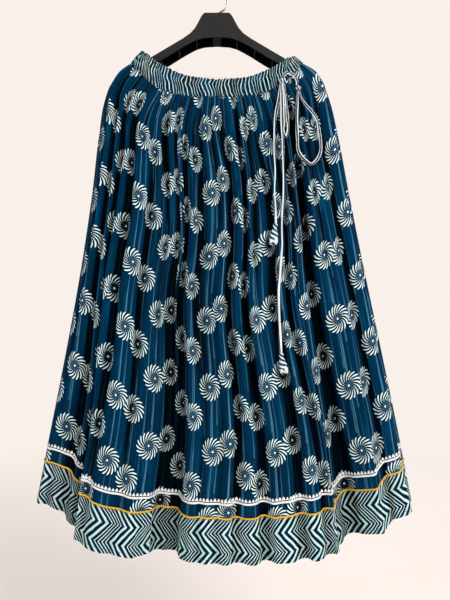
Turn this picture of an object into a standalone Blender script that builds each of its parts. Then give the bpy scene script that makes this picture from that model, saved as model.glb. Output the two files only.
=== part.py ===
"""A gathered maxi skirt in block-printed cotton, hung by its elastic waist on a plastic hanger.

Metres, +Z up. The origin is the top of the inside of the hanger's hook, where a rail or a wall
hook carries it. The front of the skirt faces -Y, and +X is to the right as seen from the front.
"""

import math
from collections import namedtuple

import bmesh
import bpy
import numpy as np

# Cloth sizes
GAP = 0.0003
CLOTH = 0.0012
PANEL_WIDTH = 1.10
BODY_DROP = 0.800
BORDER_DROP = 0.083
BAND_HEIGHT = 0.039
BAND_TILT = 0.0045
BAND_WALL = 0.0045
BAND_BULGE = 0.0012
BAND_LEAN = 0.55

# Trim sizes: the lace runs above the piping, which covers the seam of the border
PIPING = 0.0030
LACE_BOTTOM = 0.776
LACE_HEIGHT = 0.009
LACE_POINT = 0.0025
LACE_WALL = 0.0010

# Gathers. The flutes drift in their spacing and differ in depth, and lie flat over the shoulders.
FLUTES = 20
FLUTE_DRIFT = 0.006
FLUTE_UNEVEN = 0.35
FLUTE_BEATS = 4.3
SHOULDER_WIDTH = 0.045
SHOULDER_DROP = 0.10
SHOULDER_CALM = 0.75
COLUMNS_PER_FLUTE = 4
RUCHES = 64
RUCHE_DEPTH = 0.0022
WALL_SLOPE = 1.45
WALL_BEND = 0.3
HEM_FLARE = 1.06
STEEPEST = 0.34
NARROWEST_TURN = 0.30
EASING = 0.13
OVAL_POINTS = 721
RING_POINTS = 1601

# Drawstring and its cloth tassels
CORD = 0.0055
CORD_STEP = 0.0175
BRIDGE_STEP = 0.0100
ROUTE_POINTS = 400
KNOT = (0.1265, -0.0421, -0.2180)
KNOT_RADIUS = 0.0055
KNOT_LENGTH = 0.0240
PINCH = (0.1570, -0.0440, -0.2330)
PINCH_RADIUS = 0.0048
PINCH_LENGTH = 0.0150
ROLL_SIDES = 10
ROLL_ENDS = [(0.50, 0.55), (0.45, 0.88), (0.38, 1.00)]
BRIDGE = [
    (0.1285, -0.0421, -0.2108), (0.1295, -0.0424, -0.2075), (0.1340, -0.0427, -0.2035),
    (0.1420, -0.0430, -0.2045), (0.1500, -0.0435, -0.2110), (0.1540, -0.0440, -0.2190),
    (0.1545, -0.0440, -0.2279),
]
SHORT_TAIL = [
    (0.1180, -0.0425, -0.2235), (0.1170, -0.0450, -0.2592), (0.1114, -0.0485, -0.2988),
    (0.1100, -0.0510, -0.3337), (0.1108, -0.0535, -0.3659), (0.1112, -0.0555, -0.3929),
    (0.1100, -0.0575, -0.4314), (0.1114, -0.0590, -0.4658), (0.1116, -0.0600, -0.4945),
]
LONG_TAIL = [
    (0.1222, -0.0472, -0.2228), (0.1232, -0.0515, -0.2655), (0.1235, -0.0540, -0.3010),
    (0.1253, -0.0555, -0.3282), (0.1263, -0.0570, -0.3592), (0.1264, -0.0590, -0.4030),
    (0.1257, -0.0610, -0.4433), (0.1236, -0.0640, -0.4742), (0.1227, -0.0664, -0.5085),
    (0.1230, -0.0682, -0.5349), (0.1206, -0.0700, -0.5613), (0.1184, -0.0705, -0.5932),
    (0.1160, -0.0710, -0.6213), (0.1163, -0.0710, -0.6494), (0.1185, -0.0700, -0.6968),
    (0.1208, -0.0690, -0.7390),
]
LEFT_LOOP = [
    (0.1332, -0.0425, -0.2235), (0.1340, -0.0455, -0.2623), (0.1352, -0.0478, -0.2920),
    (0.1362, -0.0495, -0.3150), (0.1325, -0.0500, -0.3290), (0.1275, -0.0490, -0.3190),
    (0.1276, -0.0468, -0.2954), (0.1275, -0.0445, -0.2641), (0.1262, -0.0425, -0.2235),
]
RIGHT_LOOP = [
    (0.1603, -0.0440, -0.2390), (0.1680, -0.0430, -0.2560), (0.1810, -0.0430, -0.2755),
    (0.1917, -0.0432, -0.2921), (0.1957, -0.0434, -0.3095), (0.1994, -0.0440, -0.3346),
    (0.1995, -0.0450, -0.3540), (0.1903, -0.0490, -0.3733), (0.1800, -0.0530, -0.3810),
    (0.1692, -0.0534, -0.3740), (0.1574, -0.0520, -0.3599), (0.1541, -0.0508, -0.3302),
    (0.1533, -0.0488, -0.2991), (0.1534, -0.0476, -0.2684), (0.1537, -0.0440, -0.2379),
]
SHORT_TASSEL = [(0.1116, -0.0600, -0.49475), (0.1066, -0.0605, -0.5370)]
LONG_TASSEL = [(0.1208, -0.0690, -0.73925), (0.1270, -0.0695, -0.7785)]
TASSEL_SHARES = [0.00, 0.08, 0.20, 0.45, 0.72, 0.92, 1.00]
TASSEL_RADII = [0.0020, 0.0042, 0.0032, 0.0066, 0.0082, 0.0074, 0.0045]
TASSEL_FLATNESS = 0.70
TASSEL_SIDES = 10

# Hook wire
WIRE = 0.0038
CROOK_RADIUS = 0.0200
CROOK_TURN = 205
CROOK_POINTS = 14
HOOK_STEM = [
    (0.0000, -0.0880), (0.0000, -0.0715), (0.0030, -0.0668), (0.0090, -0.0632), (0.0155, -0.0590),
    (0.0198, -0.0520), (0.0206, -0.0440), (0.0203, -0.0310),
]

# The skirt's half-sections. Drop is the distance down the cloth from the waist seam.
Section = namedtuple("Section", "drop half_width shift side_z centre_z front back power sag")
SECTIONS = [
    Section(0.000, 0.1670, 0.000, -0.1740, -0.2455, 0.0330, 0.0330, 6.0, 3.7),
    Section(0.030, 0.1925, 0.000, -0.1885, -0.2755, 0.0350, 0.0345, 5.0, 3.4),
    Section(0.058, 0.2100, 0.000, -0.2105, -0.3035, 0.0375, 0.0360, 4.2, 3.2),
    Section(0.095, 0.2200, 0.001, -0.2460, -0.3400, 0.0410, 0.0370, 3.6, 3.0),
    Section(0.200, 0.2350, 0.005, -0.3500, -0.4440, 0.0490, 0.0390, 3.0, 2.8),
    Section(0.400, 0.2700, 0.010, -0.5500, -0.6430, 0.0640, 0.0430, 2.7, 2.8),
    Section(0.600, 0.3110, 0.013, -0.7520, -0.8415, 0.0790, 0.0480, 2.5, 3.0),
    Section(0.800, 0.3540, 0.014, -0.9580, -1.0400, 0.0930, 0.0540, 2.4, 3.3),
    Section(0.883, 0.3700, 0.014, -1.0420, -1.1225, 0.0980, 0.0570, 2.4, 3.6),
]

# Depth of the small flutes down the cloth
FLUTE_DROPS = [0.0, 0.03, 0.09, 0.22, 0.42, 0.62, 0.80, 0.883]
FLUTE_DEPTHS = [0.0034, 0.0050, 0.0082, 0.0090, 0.0072, 0.0055, 0.0038, 0.0042]

# Largest folds: valleys let into the panel. Across is a share of the panel's width from its
# left seam as seen from the front, floor is the width of the valley's bottom, and the depths
# are at the waist, at mid-length and at the hem. Lean moves the floor sideways under a lip.
Fold = namedtuple("Fold", "across floor waist middle hem lean")
FOLD_DROPS = [0.0, 0.09, 0.42, 0.80, 0.883]
FRONT_FOLDS = [
    Fold(0.085, 0.060, 0.000, 0.012, 0.036, 0.006),
    Fold(0.168, 0.012, 0.003, 0.009, 0.008, 0.000),
    Fold(0.250, 0.008, 0.007, 0.022, 0.012, -0.004),
    Fold(0.350, 0.026, 0.006, 0.032, 0.052, 0.000),
    Fold(0.440, 0.008, 0.007, 0.022, 0.010, 0.000),
    Fold(0.515, 0.006, 0.006, 0.018, 0.010, 0.000),
    Fold(0.588, 0.012, 0.005, 0.016, 0.014, 0.000),
    Fold(0.662, 0.008, 0.008, 0.024, 0.014, 0.004),
    Fold(0.733, 0.008, 0.006, 0.018, 0.014, 0.000),
    Fold(0.818, 0.016, 0.008, 0.034, 0.052, -0.004),
    Fold(0.915, 0.020, 0.003, 0.012, 0.016, 0.000),
]
BACK_FOLDS = [
    Fold(0.095, 0.010, 0.002, 0.012, 0.022, 0.006),
    Fold(0.190, 0.010, 0.006, 0.014, 0.014, 0.000),
    Fold(0.285, 0.008, 0.006, 0.018, 0.028, -0.006),
    Fold(0.380, 0.012, 0.004, 0.014, 0.012, 0.000),
    Fold(0.480, 0.006, 0.008, 0.020, 0.030, 0.006),
    Fold(0.580, 0.010, 0.004, 0.014, 0.012, 0.000),
    Fold(0.675, 0.010, 0.005, 0.016, 0.028, 0.000),
    Fold(0.770, 0.012, 0.004, 0.012, 0.012, 0.000),
    Fold(0.870, 0.008, 0.004, 0.014, 0.024, -0.006),
]

HEM_DROP = BODY_DROP + BORDER_DROP
BODY_DROPS = [0.0005, 0.012, 0.030, 0.055, 0.090, 0.160, 0.270, 0.400, 0.540, 0.664, 0.764, BODY_DROP]
BORDER_DROPS = [BODY_DROP + BORDER_DROP / 2, HEM_DROP]

# Hanger: top and bottom edges of one arm, and its half depth, at distances from the middle
Arm = namedtuple("Arm", "out top bottom half_depth")
ARM = [
    Arm(0.0000, -0.0765, -0.1240, 0.0215),
    Arm(0.0240, -0.0765, -0.1255, 0.0215),
    Arm(0.0285, -0.0805, -0.1265, 0.0215),
    Arm(0.0330, -0.0880, -0.1278, 0.0215),
    Arm(0.0370, -0.0960, -0.1288, 0.0215),
    Arm(0.0430, -0.1065, -0.1310, 0.0215),
    Arm(0.0520, -0.1167, -0.1355, 0.0220),
    Arm(0.0660, -0.1270, -0.1431, 0.0225),
    Arm(0.0990, -0.1465, -0.1637, 0.0225),
    Arm(0.1300, -0.1640, -0.1805, 0.0210),
    Arm(0.1650, -0.1815, -0.1965, 0.0204),
    Arm(0.1850, -0.1960, -0.2080, 0.0170),
    Arm(0.1970, -0.2050, -0.2130, 0.0110),
]
CROWN = 0.006
CROWN_REACH = 0.09
CROWN_LEAST = 0.4
CROWN_SHOULDER = 0.75
SOCKET_DEPTH = 0.030
HANGER_WALL = 0.0028
RIB = 0.0022
POCKET_EDGES = [0.007, 0.040, 0.075, 0.110, 0.145, 0.180]


def clear_scene():
    for obj in list(bpy.data.objects):
        bpy.data.objects.remove(obj)


def material(name, colour, roughness, metallic=0.0):
    made = bpy.data.materials.new(name)
    made.use_nodes = True
    shader = made.node_tree.nodes["Principled BSDF"]
    shader.inputs["Base Color"].default_value = (*colour, 1.0)
    shader.inputs["Roughness"].default_value = roughness
    shader.inputs["Metallic"].default_value = metallic
    return made


def add_mesh(name, points, faces, finish, smooth_angle=60):
    mesh = bpy.data.meshes.new(name)
    mesh.from_pydata([tuple(p) for p in points], [], faces)
    mesh.validate()
    obj = bpy.data.objects.new(name, mesh)
    bpy.context.scene.collection.objects.link(obj)
    mesh.materials.append(finish)
    mesh.shade_smooth()
    mesh.set_sharp_from_angle(angle=math.radians(smooth_angle))
    return obj


def smooth_table(knots, values, at):
    """A smooth curve through a table's values, read at one place or several."""
    knots = np.asarray(knots, float)
    values = np.asarray(values, float)
    slopes = np.gradient(values, knots)
    i = np.clip(np.searchsorted(knots, at, side="right") - 1, 0, len(knots) - 2)
    span = knots[i + 1] - knots[i]
    t = (at - knots[i]) / span
    return (
        (2 * t**3 - 3 * t**2 + 1) * values[i]
        + (t**3 - 2 * t**2 + t) * span * slopes[i]
        + (3 * t**2 - 2 * t**3) * values[i + 1]
        + (t**3 - t**2) * span * slopes[i + 1]
    )


def section_at(drop):
    knots = [s.drop for s in SECTIONS]
    columns = zip(*SECTIONS)
    return Section(*(smooth_table(knots, column, drop) for column in columns))


def half_oval(half_width, depth, power, share):
    """Points of half a flattened oval, from its left end to its right, by share of its length."""
    angle = np.linspace(0, math.pi, OVAL_POINTS)
    x = -half_width * np.sign(np.cos(angle)) * np.abs(np.cos(angle)) ** (2 / power)
    y = depth * np.abs(np.sin(angle)) ** (2 / power)
    length = np.concatenate([[0], np.cumsum(np.hypot(np.diff(x), np.diff(y)))])
    length /= length[-1]
    return np.interp(share, length, x), np.interp(share, length, y)


def fold_wall(t):
    """A rise from 0 to 1 with a straight middle and rounded ends, as the side of a soft fold."""
    t = np.clip(t, 0, 1)
    top = 1 / (1 - WALL_BEND)
    start = top * t**2 / (2 * WALL_BEND)
    middle = top * (t - WALL_BEND / 2)
    end = 1 - top * (1 - t) ** 2 / (2 * WALL_BEND)
    return np.where(t < WALL_BEND, start, np.where(t > 1 - WALL_BEND, end, middle))


def folds_at(across, drop, folds):
    """(outward, sideways) moves of the cloth by its large folds."""
    outward = np.zeros_like(across)
    sideways = np.zeros_like(across)
    for fold in folds:
        depths = [0.0, fold.waist, fold.middle, fold.hem, fold.hem * HEM_FLARE]
        depth = max(float(smooth_table(FOLD_DROPS, depths, drop)), 0.0)
        if depth < 1e-5:
            continue
        away = np.abs(across - fold.across) * PANEL_WIDTH - fold.floor / 2
        inside = 1 - fold_wall(away / (WALL_SLOPE * depth))
        outward -= depth * inside
        sideways += fold.lean * depth / max(fold.hem, fold.middle) * inside
    return outward, sideways


def flutes_at(across, drop, side):
    """Small gathers, uneven in depth from one to the next, and shallow over the shoulders."""
    depth = float(np.interp(drop, FLUTE_DROPS, FLUTE_DEPTHS))
    phase = across + FLUTE_DRIFT * np.sin(2 * math.pi * (3 * across + 0.1 * side))
    beat = 2 * math.pi * (FLUTE_BEATS * across + 0.3 * side) + 2.0 * drop
    uneven = 1 + FLUTE_UNEVEN * np.sin(beat)
    edge = np.minimum(across, 1 - across)
    near_top = math.exp(-((drop / SHOULDER_DROP) ** 2))
    ends = 1 - SHOULDER_CALM * np.exp(-((edge / SHOULDER_WIDTH) ** 2)) * near_top
    return depth * uneven * ends * np.cos(2 * math.pi * FLUTES * phase)


def cloth_ring(across, drop, side):
    """Points of one panel at one drop. Side is -1 for the front and 1 for the back.

    The cloth keeps its width: where a fold takes cloth up, the panel advances less round the
    half-section, so the print and the grain stay true to the flat panel.
    """
    section = section_at(drop)
    folds = FRONT_FOLDS if side < 0 else BACK_FOLDS
    fine = np.linspace(0, 1, RING_POINTS)
    outward, sideways = folds_at(fine, drop, folds)
    outward = outward + flutes_at(fine, drop, side)
    slope = np.gradient(outward, fine) / PANEL_WIDTH
    advance = np.sqrt(np.maximum(1 - slope**2, STEEPEST**2))
    share = np.concatenate([[0], np.cumsum((advance[1:] + advance[:-1]) / 2)])
    share /= share[-1]
    depth = section.front if side < 0 else section.back
    half = section.half_width
    x, y = half_oval(half, depth, section.power, share)
    tangent = np.stack([np.gradient(x), np.gradient(y)])
    tangent /= np.linalg.norm(tangent, axis=0)
    z = section.centre_z + (section.side_z - section.centre_z) * np.abs(x / half) ** section.sag
    px = x - tangent[1] * outward + tangent[0] * sideways + section.shift
    py = y + tangent[0] * outward + tangent[1] * sideways + GAP / 2
    return np.stack(
        [np.interp(across, fine, px), side * np.interp(across, fine, py), np.interp(across, fine, z)],
        axis=-1,
    )


def panel_columns():
    return np.linspace(0, 1, FLUTES * COLUMNS_PER_FLUTE + 1)


def unit(vectors):
    return vectors / np.linalg.norm(vectors, axis=-1, keepdims=True)


def panel_grid(side):
    """(drops, points, outward) of a whole panel. Outward is the move that adds a metre of wall."""
    drops = np.array(BODY_DROPS + BORDER_DROPS)
    points = np.array([cloth_ring(panel_columns(), drop, side) for drop in drops])
    # A light easing keeps the tightest bends open.
    points[:, 1:-1] += EASING * (points[:, :-2] - 2 * points[:, 1:-1] + points[:, 2:])
    chords = unit(np.diff(points, axis=1))
    before = np.concatenate([chords[:, :1], chords], axis=1)
    after = np.concatenate([chords, chords[:, -1:]], axis=1)
    outward = unit(side * np.cross(unit(before + after), np.gradient(points, drops, axis=0)))
    # At the side seams the wall stands square to the seam, so front and back stay apart.
    outward[:, [0, -1], 1] = 0
    outward = unit(outward)
    half_turn = np.sqrt((1 + np.sum(before * after, axis=-1)) / 2)
    return drops, points, outward / np.maximum(half_turn, NARROWEST_TURN)[..., None]


def on_panel(panel, drops, out):
    """Rows of points at these drops, moved out of the panel's face. Drops may be a grid."""
    knots, points, outward = panel
    face = points + out * outward
    drops = np.asarray(drops, float)
    if drops.ndim == 1:
        drops = np.repeat(drops[:, None], points.shape[1], axis=1)
    i = np.clip(np.searchsorted(knots, drops, side="right") - 1, 0, len(knots) - 2)
    part = ((drops - knots[i]) / (knots[i + 1] - knots[i]))[..., None]
    column = np.arange(points.shape[1])
    return face[i, column] * (1 - part) + face[i + 1, column] * part


def wall(name, outer, inner, finish, ring=False):
    """A closed wall between two grids of points of the same size. A ring joins its two ends."""
    rows, columns = outer.shape[:2]
    points = np.concatenate([outer.reshape(-1, 3), inner.reshape(-1, 3)])
    layer = rows * columns
    spans = columns if ring else columns - 1

    def at(k, i, j):
        return k * layer + i * columns + j % columns

    faces = []

    def quad(a, b, c, d):
        faces.extend([(a, b, c), (a, c, d)])

    for j in range(spans):
        for i in range(rows - 1):
            quad(at(0, i, j), at(0, i + 1, j), at(0, i + 1, j + 1), at(0, i, j + 1))
            quad(at(1, i + 1, j + 1), at(1, i + 1, j), at(1, i, j), at(1, i, j + 1))
        quad(at(1, 0, j), at(0, 0, j), at(0, 0, j + 1), at(1, 0, j + 1))
        last = rows - 1
        quad(at(0, last, j), at(1, last, j), at(1, last, j + 1), at(0, last, j + 1))
    if not ring:
        end = columns - 1
        for i in range(rows - 1):
            quad(at(1, i, 0), at(1, i + 1, 0), at(0, i + 1, 0), at(0, i, 0))
            quad(at(0, i, end), at(0, i + 1, end), at(1, i + 1, end), at(1, i, end))
    return add_mesh(name, points, faces, finish)


def cloth_wall(name, panel, drops, out, thickness, finish):
    """A piece of cloth on a panel: its outer face is moved out from the panel's face."""
    outer = on_panel(panel, drops, out)
    inner = on_panel(panel, drops, out - thickness)
    if name.endswith("back"):
        outer, inner = outer[:, ::-1], inner[:, ::-1]
    return wall(name, outer, inner, finish)


def make_panel(place, side, finishes):
    """One side of the skirt: body cloth, border, and the piping and lace laid on them."""
    panel = panel_grid(side)
    cloth_wall(f"body_{place}", panel, BODY_DROPS, 0.0, CLOTH, finishes["body"])
    border_drops = [BODY_DROP + 2 * GAP, *BORDER_DROPS]
    cloth_wall(f"border_{place}", panel, border_drops, 0.0, CLOTH, finishes["border"])
    piping_drops = [BODY_DROP - PIPING / 2, BODY_DROP + PIPING / 2]
    cloth_wall(
        f"piping_{place}", panel, piping_drops, GAP + PIPING, PIPING, finishes["piping"]
    )
    columns = np.arange(panel[1].shape[1])
    lace_top = LACE_BOTTOM - LACE_HEIGHT + LACE_POINT * (columns % 2)
    lace_drops = np.stack([lace_top, np.full(len(columns), LACE_BOTTOM)])
    cloth_wall(
        f"lace_{place}", panel, lace_drops, 2 * GAP + LACE_WALL, LACE_WALL, finishes["lace"]
    )


def band_edges(count):
    """The waistband's lower and upper edges, all round from its left end, front first."""
    section = section_at(0.0)
    share = np.linspace(0, 1, count // 2 + 1)
    x, y = half_oval(section.half_width, section.front, section.power, share)
    lift = np.abs(x / section.half_width) ** section.sag
    low = np.stack([x, -y, section.centre_z + (section.side_z - section.centre_z) * lift], -1)
    lean = unit(np.stack([-BAND_LEAN * x / section.half_width * lift, 0 * x, 0 * x + 1], -1))
    high = low + (BAND_HEIGHT - BAND_TILT * x / section.half_width)[:, None] * lean
    mirror = np.array([1, -1, 1])
    low = np.concatenate([low, (low * mirror)[-2:0:-1]])
    high = np.concatenate([high, (high * mirror)[-2:0:-1]])
    return low, high


def make_waistband(finish):
    """The gathered casing over the elastic: ruched outside, plain inside."""
    low, high = band_edges(2 * RUCHES)
    low = low + np.array([0, 0, 2 * GAP])
    turn = np.roll(low, -1, axis=0) - np.roll(low, 1, axis=0)
    normal = np.stack([turn[:, 1], -turn[:, 0], 0 * turn[:, 0]], -1)
    normal /= np.linalg.norm(normal, axis=1)[:, None]
    ruche = np.where(np.arange(len(low)) % 2 == 0, 0.5, -0.5) * RUCHE_DEPTH
    outer, inner = [], []
    for share, bulge in ((1.0, 0.0), (0.67, BAND_BULGE), (0.33, BAND_BULGE), (0.0, 0.0)):
        middle = low + share * (high - low)
        outer.append(middle + normal * (BAND_WALL / 2 + ruche + bulge)[:, None])
        inner.append(middle - normal * BAND_WALL / 2)
    return wall("waistband", np.array(outer), np.array(inner), finish, ring=True)


def arm_at(x):
    out = [a.out for a in ARM]
    return Arm(abs(x), *(np.interp(abs(x), out, [getattr(a, f) for a in ARM]) for f in Arm._fields[1:]))


def loft(name, sections, finish):
    """A closed solid through sections of the same number of points, with flat ends."""
    count = len(sections[0])
    points = [p for section in sections for p in section]
    faces = [tuple(range(count))[::-1]]
    for i in range(len(sections) - 1):
        a, b = i * count, (i + 1) * count
        for j in range(count):
            k = (j + 1) % count
            faces.append((a + j, a + k, b + k, b + j))
    faces.append(tuple((len(sections) - 1) * count + j for j in range(count)))
    obj = add_mesh(name, points, faces, finish, smooth_angle=35)
    bm = bmesh.new()
    bm.from_mesh(obj.data)
    bmesh.ops.recalc_face_normals(bm, faces=bm.faces)
    bm.to_mesh(obj.data)
    bm.free()
    return obj


def hanger_section(x):
    """The hanger's outside at x: flat front and back, and a crowned top."""
    arm = arm_at(x)
    d = arm.half_depth
    crown = CROWN * (CROWN_LEAST + (1 - CROWN_LEAST) * min(abs(x) / CROWN_REACH, 1.0))
    return [
        (x, -d, arm.bottom),
        (x, d, arm.bottom),
        (x, d, arm.top),
        (x, 0.5 * d, arm.top + CROWN_SHOULDER * crown),
        (x, 0, arm.top + crown),
        (x, -0.5 * d, arm.top + CROWN_SHOULDER * crown),
        (x, -d, arm.top),
    ]


def pocket_section(x):
    """The hollow under the hanger at x, open at the bottom."""
    arm = arm_at(x)
    d = arm.half_depth - HANGER_WALL
    roof = arm.top - HANGER_WALL
    floor = arm.bottom - 0.01
    return [(x, -d, floor), (x, d, floor), (x, d, roof), (x, -d, roof)]


def cut(obj, cutter):
    modifier = obj.modifiers.new("cut", "BOOLEAN")
    modifier.operation = "DIFFERENCE"
    modifier.solver = "EXACT"
    modifier.object = cutter
    cutter.hide_render = True
    cutter.display_type = "WIRE"


def make_hanger(plastic):
    stations = [-a.out for a in reversed(ARM)] + [a.out for a in ARM[1:]]
    body = loft("hanger_body", [hanger_section(x) for x in stations], plastic)
    for start, end in zip(POCKET_EDGES, POCKET_EDGES[1:]):
        for sign in (-1, 1):
            inside = [a.out for a in ARM if start + RIB < a.out < end - RIB]
            ends = [start + RIB / 2, *inside, end - RIB / 2]
            sections = [pocket_section(sign * out) for out in ends]
            cut(body, loft(f"pocket_{start * 1000:.0f}_{sign}", sections, plastic))
    socket = bpy.data.meshes.new("socket")
    bm = bmesh.new()
    bore = WIRE / 2 + GAP
    bmesh.ops.create_cone(
        bm, cap_ends=True, segments=12, radius1=bore, radius2=bore, depth=SOCKET_DEPTH
    )
    bm.to_mesh(socket)
    bm.free()
    hole = bpy.data.objects.new("socket", socket)
    bpy.context.scene.collection.objects.link(hole)
    hole.location = (0, 0, ARM[0].top)
    cut(body, hole)
    return body


def tube(name, points, diameter, finish, resolution=2):
    """A round cord or wire along a chain of points."""
    curve = bpy.data.curves.new(name, "CURVE")
    curve.dimensions = "3D"
    curve.bevel_depth = diameter / 2
    curve.bevel_resolution = resolution
    curve.use_fill_caps = True
    spline = curve.splines.new("POLY")
    spline.points.add(len(points) - 1)
    for point, place in zip(spline.points, points):
        point.co = (*place, 1)
    obj = bpy.data.objects.new(name, curve)
    bpy.context.scene.collection.objects.link(obj)
    curve.materials.append(finish)
    return obj


def smooth_route(route, step):
    """Evenly spaced points on a smooth curve through a route's own points."""
    route = np.array(route, float)
    knots = np.concatenate([[0], np.cumsum(np.linalg.norm(np.diff(route, axis=0), axis=1))])
    fine = np.linspace(0, knots[-1], ROUTE_POINTS)
    line = np.stack([smooth_table(knots, route[:, k], fine) for k in range(3)], -1)
    length = np.concatenate([[0], np.cumsum(np.linalg.norm(np.diff(line, axis=0), axis=1))])
    at = np.linspace(0, length[-1], max(3, round(length[-1] / step) + 1))
    return np.stack([np.interp(at, length, line[:, k]) for k in range(3)], -1)


def make_roll(name, centre, radius, length, finish):
    """A tied knot in a cloth tie, as a short roll across the front with a flat underside."""
    stations = [(-x, r) for x, r in ROLL_ENDS] + [(x, r) for x, r in reversed(ROLL_ENDS)]
    angles = 2 * math.pi * (np.arange(ROLL_SIDES) + 0.5) / ROLL_SIDES
    sections = []
    for x, share in stations:
        sections.append([
            np.array(centre)
            + [x * length, share * radius * math.sin(a), -share * radius * math.cos(a)]
            for a in angles
        ])
    return loft(name, sections, finish)


def make_tassel(name, ends, finish):
    """A stuffed cloth bud, flattened from front to back, with its axis between two ends."""
    start, end = (np.array(e) for e in ends)
    axis = unit(end - start)
    side = unit(np.cross(axis, [0, 1, 0]))
    front = np.cross(axis, side)
    angles = 2 * math.pi * np.arange(TASSEL_SIDES) / TASSEL_SIDES
    sections = []
    for share, radius in zip(TASSEL_SHARES, TASSEL_RADII):
        middle = start + share * (end - start)
        sections.append([
            middle + radius * (math.cos(a) * side + TASSEL_FLATNESS * math.sin(a) * front)
            for a in angles
        ])
    return loft(name, sections, finish)


def make_drawstring(cloth):
    make_roll("tie_knot", KNOT, KNOT_RADIUS, KNOT_LENGTH, cloth)
    make_roll("tie_pinch", PINCH, PINCH_RADIUS, PINCH_LENGTH, cloth)
    tube("tie_bridge", smooth_route(BRIDGE, BRIDGE_STEP), CORD, cloth)
    tube("tail_short", smooth_route(SHORT_TAIL, CORD_STEP), CORD, cloth)
    tube("tail_long", smooth_route(LONG_TAIL, CORD_STEP), CORD, cloth)
    tube("loop_left", smooth_route(LEFT_LOOP, CORD_STEP), CORD, cloth)
    tube("loop_right", smooth_route(RIGHT_LOOP, CORD_STEP), CORD, cloth)
    make_tassel("tassel_short", SHORT_TASSEL, cloth)
    make_tassel("tassel_long", LONG_TASSEL, cloth)


def make_hook(chrome):
    """A wire from its socket, out to the right, over the top and down to an open end."""
    centre_z = -(CROOK_RADIUS - WIRE / 2)
    points = [(x, 0.0, z) for x, z in HOOK_STEM]
    for k in range(CROOK_POINTS + 1):
        angle = math.radians(CROOK_TURN * k / CROOK_POINTS)
        points.append((CROOK_RADIUS * math.cos(angle), 0.0, centre_z + CROOK_RADIUS * math.sin(angle)))
    return tube("hanger_hook", points, WIRE, chrome)


def main():
    clear_scene()
    indigo = material("indigo_print", (0.01, 0.07, 0.17), 0.9)
    chevron = material("chevron_print", (0.35, 0.45, 0.50), 0.9)
    yellow = material("mustard_piping", (0.80, 0.45, 0.05), 0.7)
    ecru = material("ecru_lace", (0.75, 0.70, 0.62), 0.9)
    plastic = material("black_plastic", (0.03, 0.03, 0.03), 0.4)
    tie = material("blue_tie", (0.16, 0.30, 0.42), 0.85)
    chrome = material("chrome_wire", (0.75, 0.75, 0.76), 0.15, metallic=1.0)
    finishes = {"body": indigo, "border": chevron, "piping": yellow, "lace": ecru}
    make_panel("front", -1, finishes)
    make_panel("back", 1, finishes)
    make_waistband(chevron)
    make_hanger(plastic)
    make_hook(chrome)
    make_drawstring(tie)


main()
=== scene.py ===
import math

import bpy
import numpy as np
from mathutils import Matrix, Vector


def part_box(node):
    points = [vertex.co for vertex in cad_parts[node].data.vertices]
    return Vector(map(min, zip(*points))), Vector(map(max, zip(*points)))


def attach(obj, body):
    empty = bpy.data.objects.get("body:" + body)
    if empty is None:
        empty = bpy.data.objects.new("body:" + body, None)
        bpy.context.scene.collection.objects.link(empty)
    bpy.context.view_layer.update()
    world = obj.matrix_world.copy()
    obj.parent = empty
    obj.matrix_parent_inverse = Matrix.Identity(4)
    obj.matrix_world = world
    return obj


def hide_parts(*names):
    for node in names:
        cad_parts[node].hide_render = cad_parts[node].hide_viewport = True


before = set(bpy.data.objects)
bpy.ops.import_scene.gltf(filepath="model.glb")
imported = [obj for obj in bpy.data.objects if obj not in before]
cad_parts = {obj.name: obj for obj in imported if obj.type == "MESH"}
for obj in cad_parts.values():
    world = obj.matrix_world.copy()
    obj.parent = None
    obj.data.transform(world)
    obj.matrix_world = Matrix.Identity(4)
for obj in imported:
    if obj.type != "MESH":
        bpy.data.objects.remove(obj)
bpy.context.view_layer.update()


def addObject(name, data):
    made = bpy.data.objects.new(name, data)
    bpy.context.scene.collection.objects.link(made)
    return made


def settle(piece, node=None):
    # every piece rides on the one body, and a dressed piece stands for its plain solid
    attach(piece, "root")
    if node:
        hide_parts(node)
    return piece


def fullTurn(count):
    # evenly spaced angles round a circle
    return 2 * math.pi * np.arange(count) / count


# Camera

camera = {
    "place": (0.016, -1.10, -0.64),
    "lens": 22.0,
    "sensorHeight": 24.0,
    "nearest": 0.05,
    "farthest": 60,
}


def makeCamera():
    data = bpy.data.cameras.new("camera")
    data.sensor_fit = "VERTICAL"
    data.sensor_height = camera["sensorHeight"]
    data.lens = camera["lens"]
    data.clip_start = camera["nearest"]
    data.clip_end = camera["farthest"]
    eye = addObject("camera", data)
    eye.location = camera["place"]
    eye.rotation_euler = (math.pi / 2, 0, 0)
    bpy.context.scene.camera = eye


makeCamera()


def fromPaint(red, green, blue):
    # a colour picked as 0 to 255 values, in Blender's own linear ones
    def level(value):
        share = value / 255
        return share / 12.92 if share <= 0.04045 else ((share + 0.055) / 1.055) ** 2.4

    return (level(red), level(green), level(blue), 1.0)


# Shader maths


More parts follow.
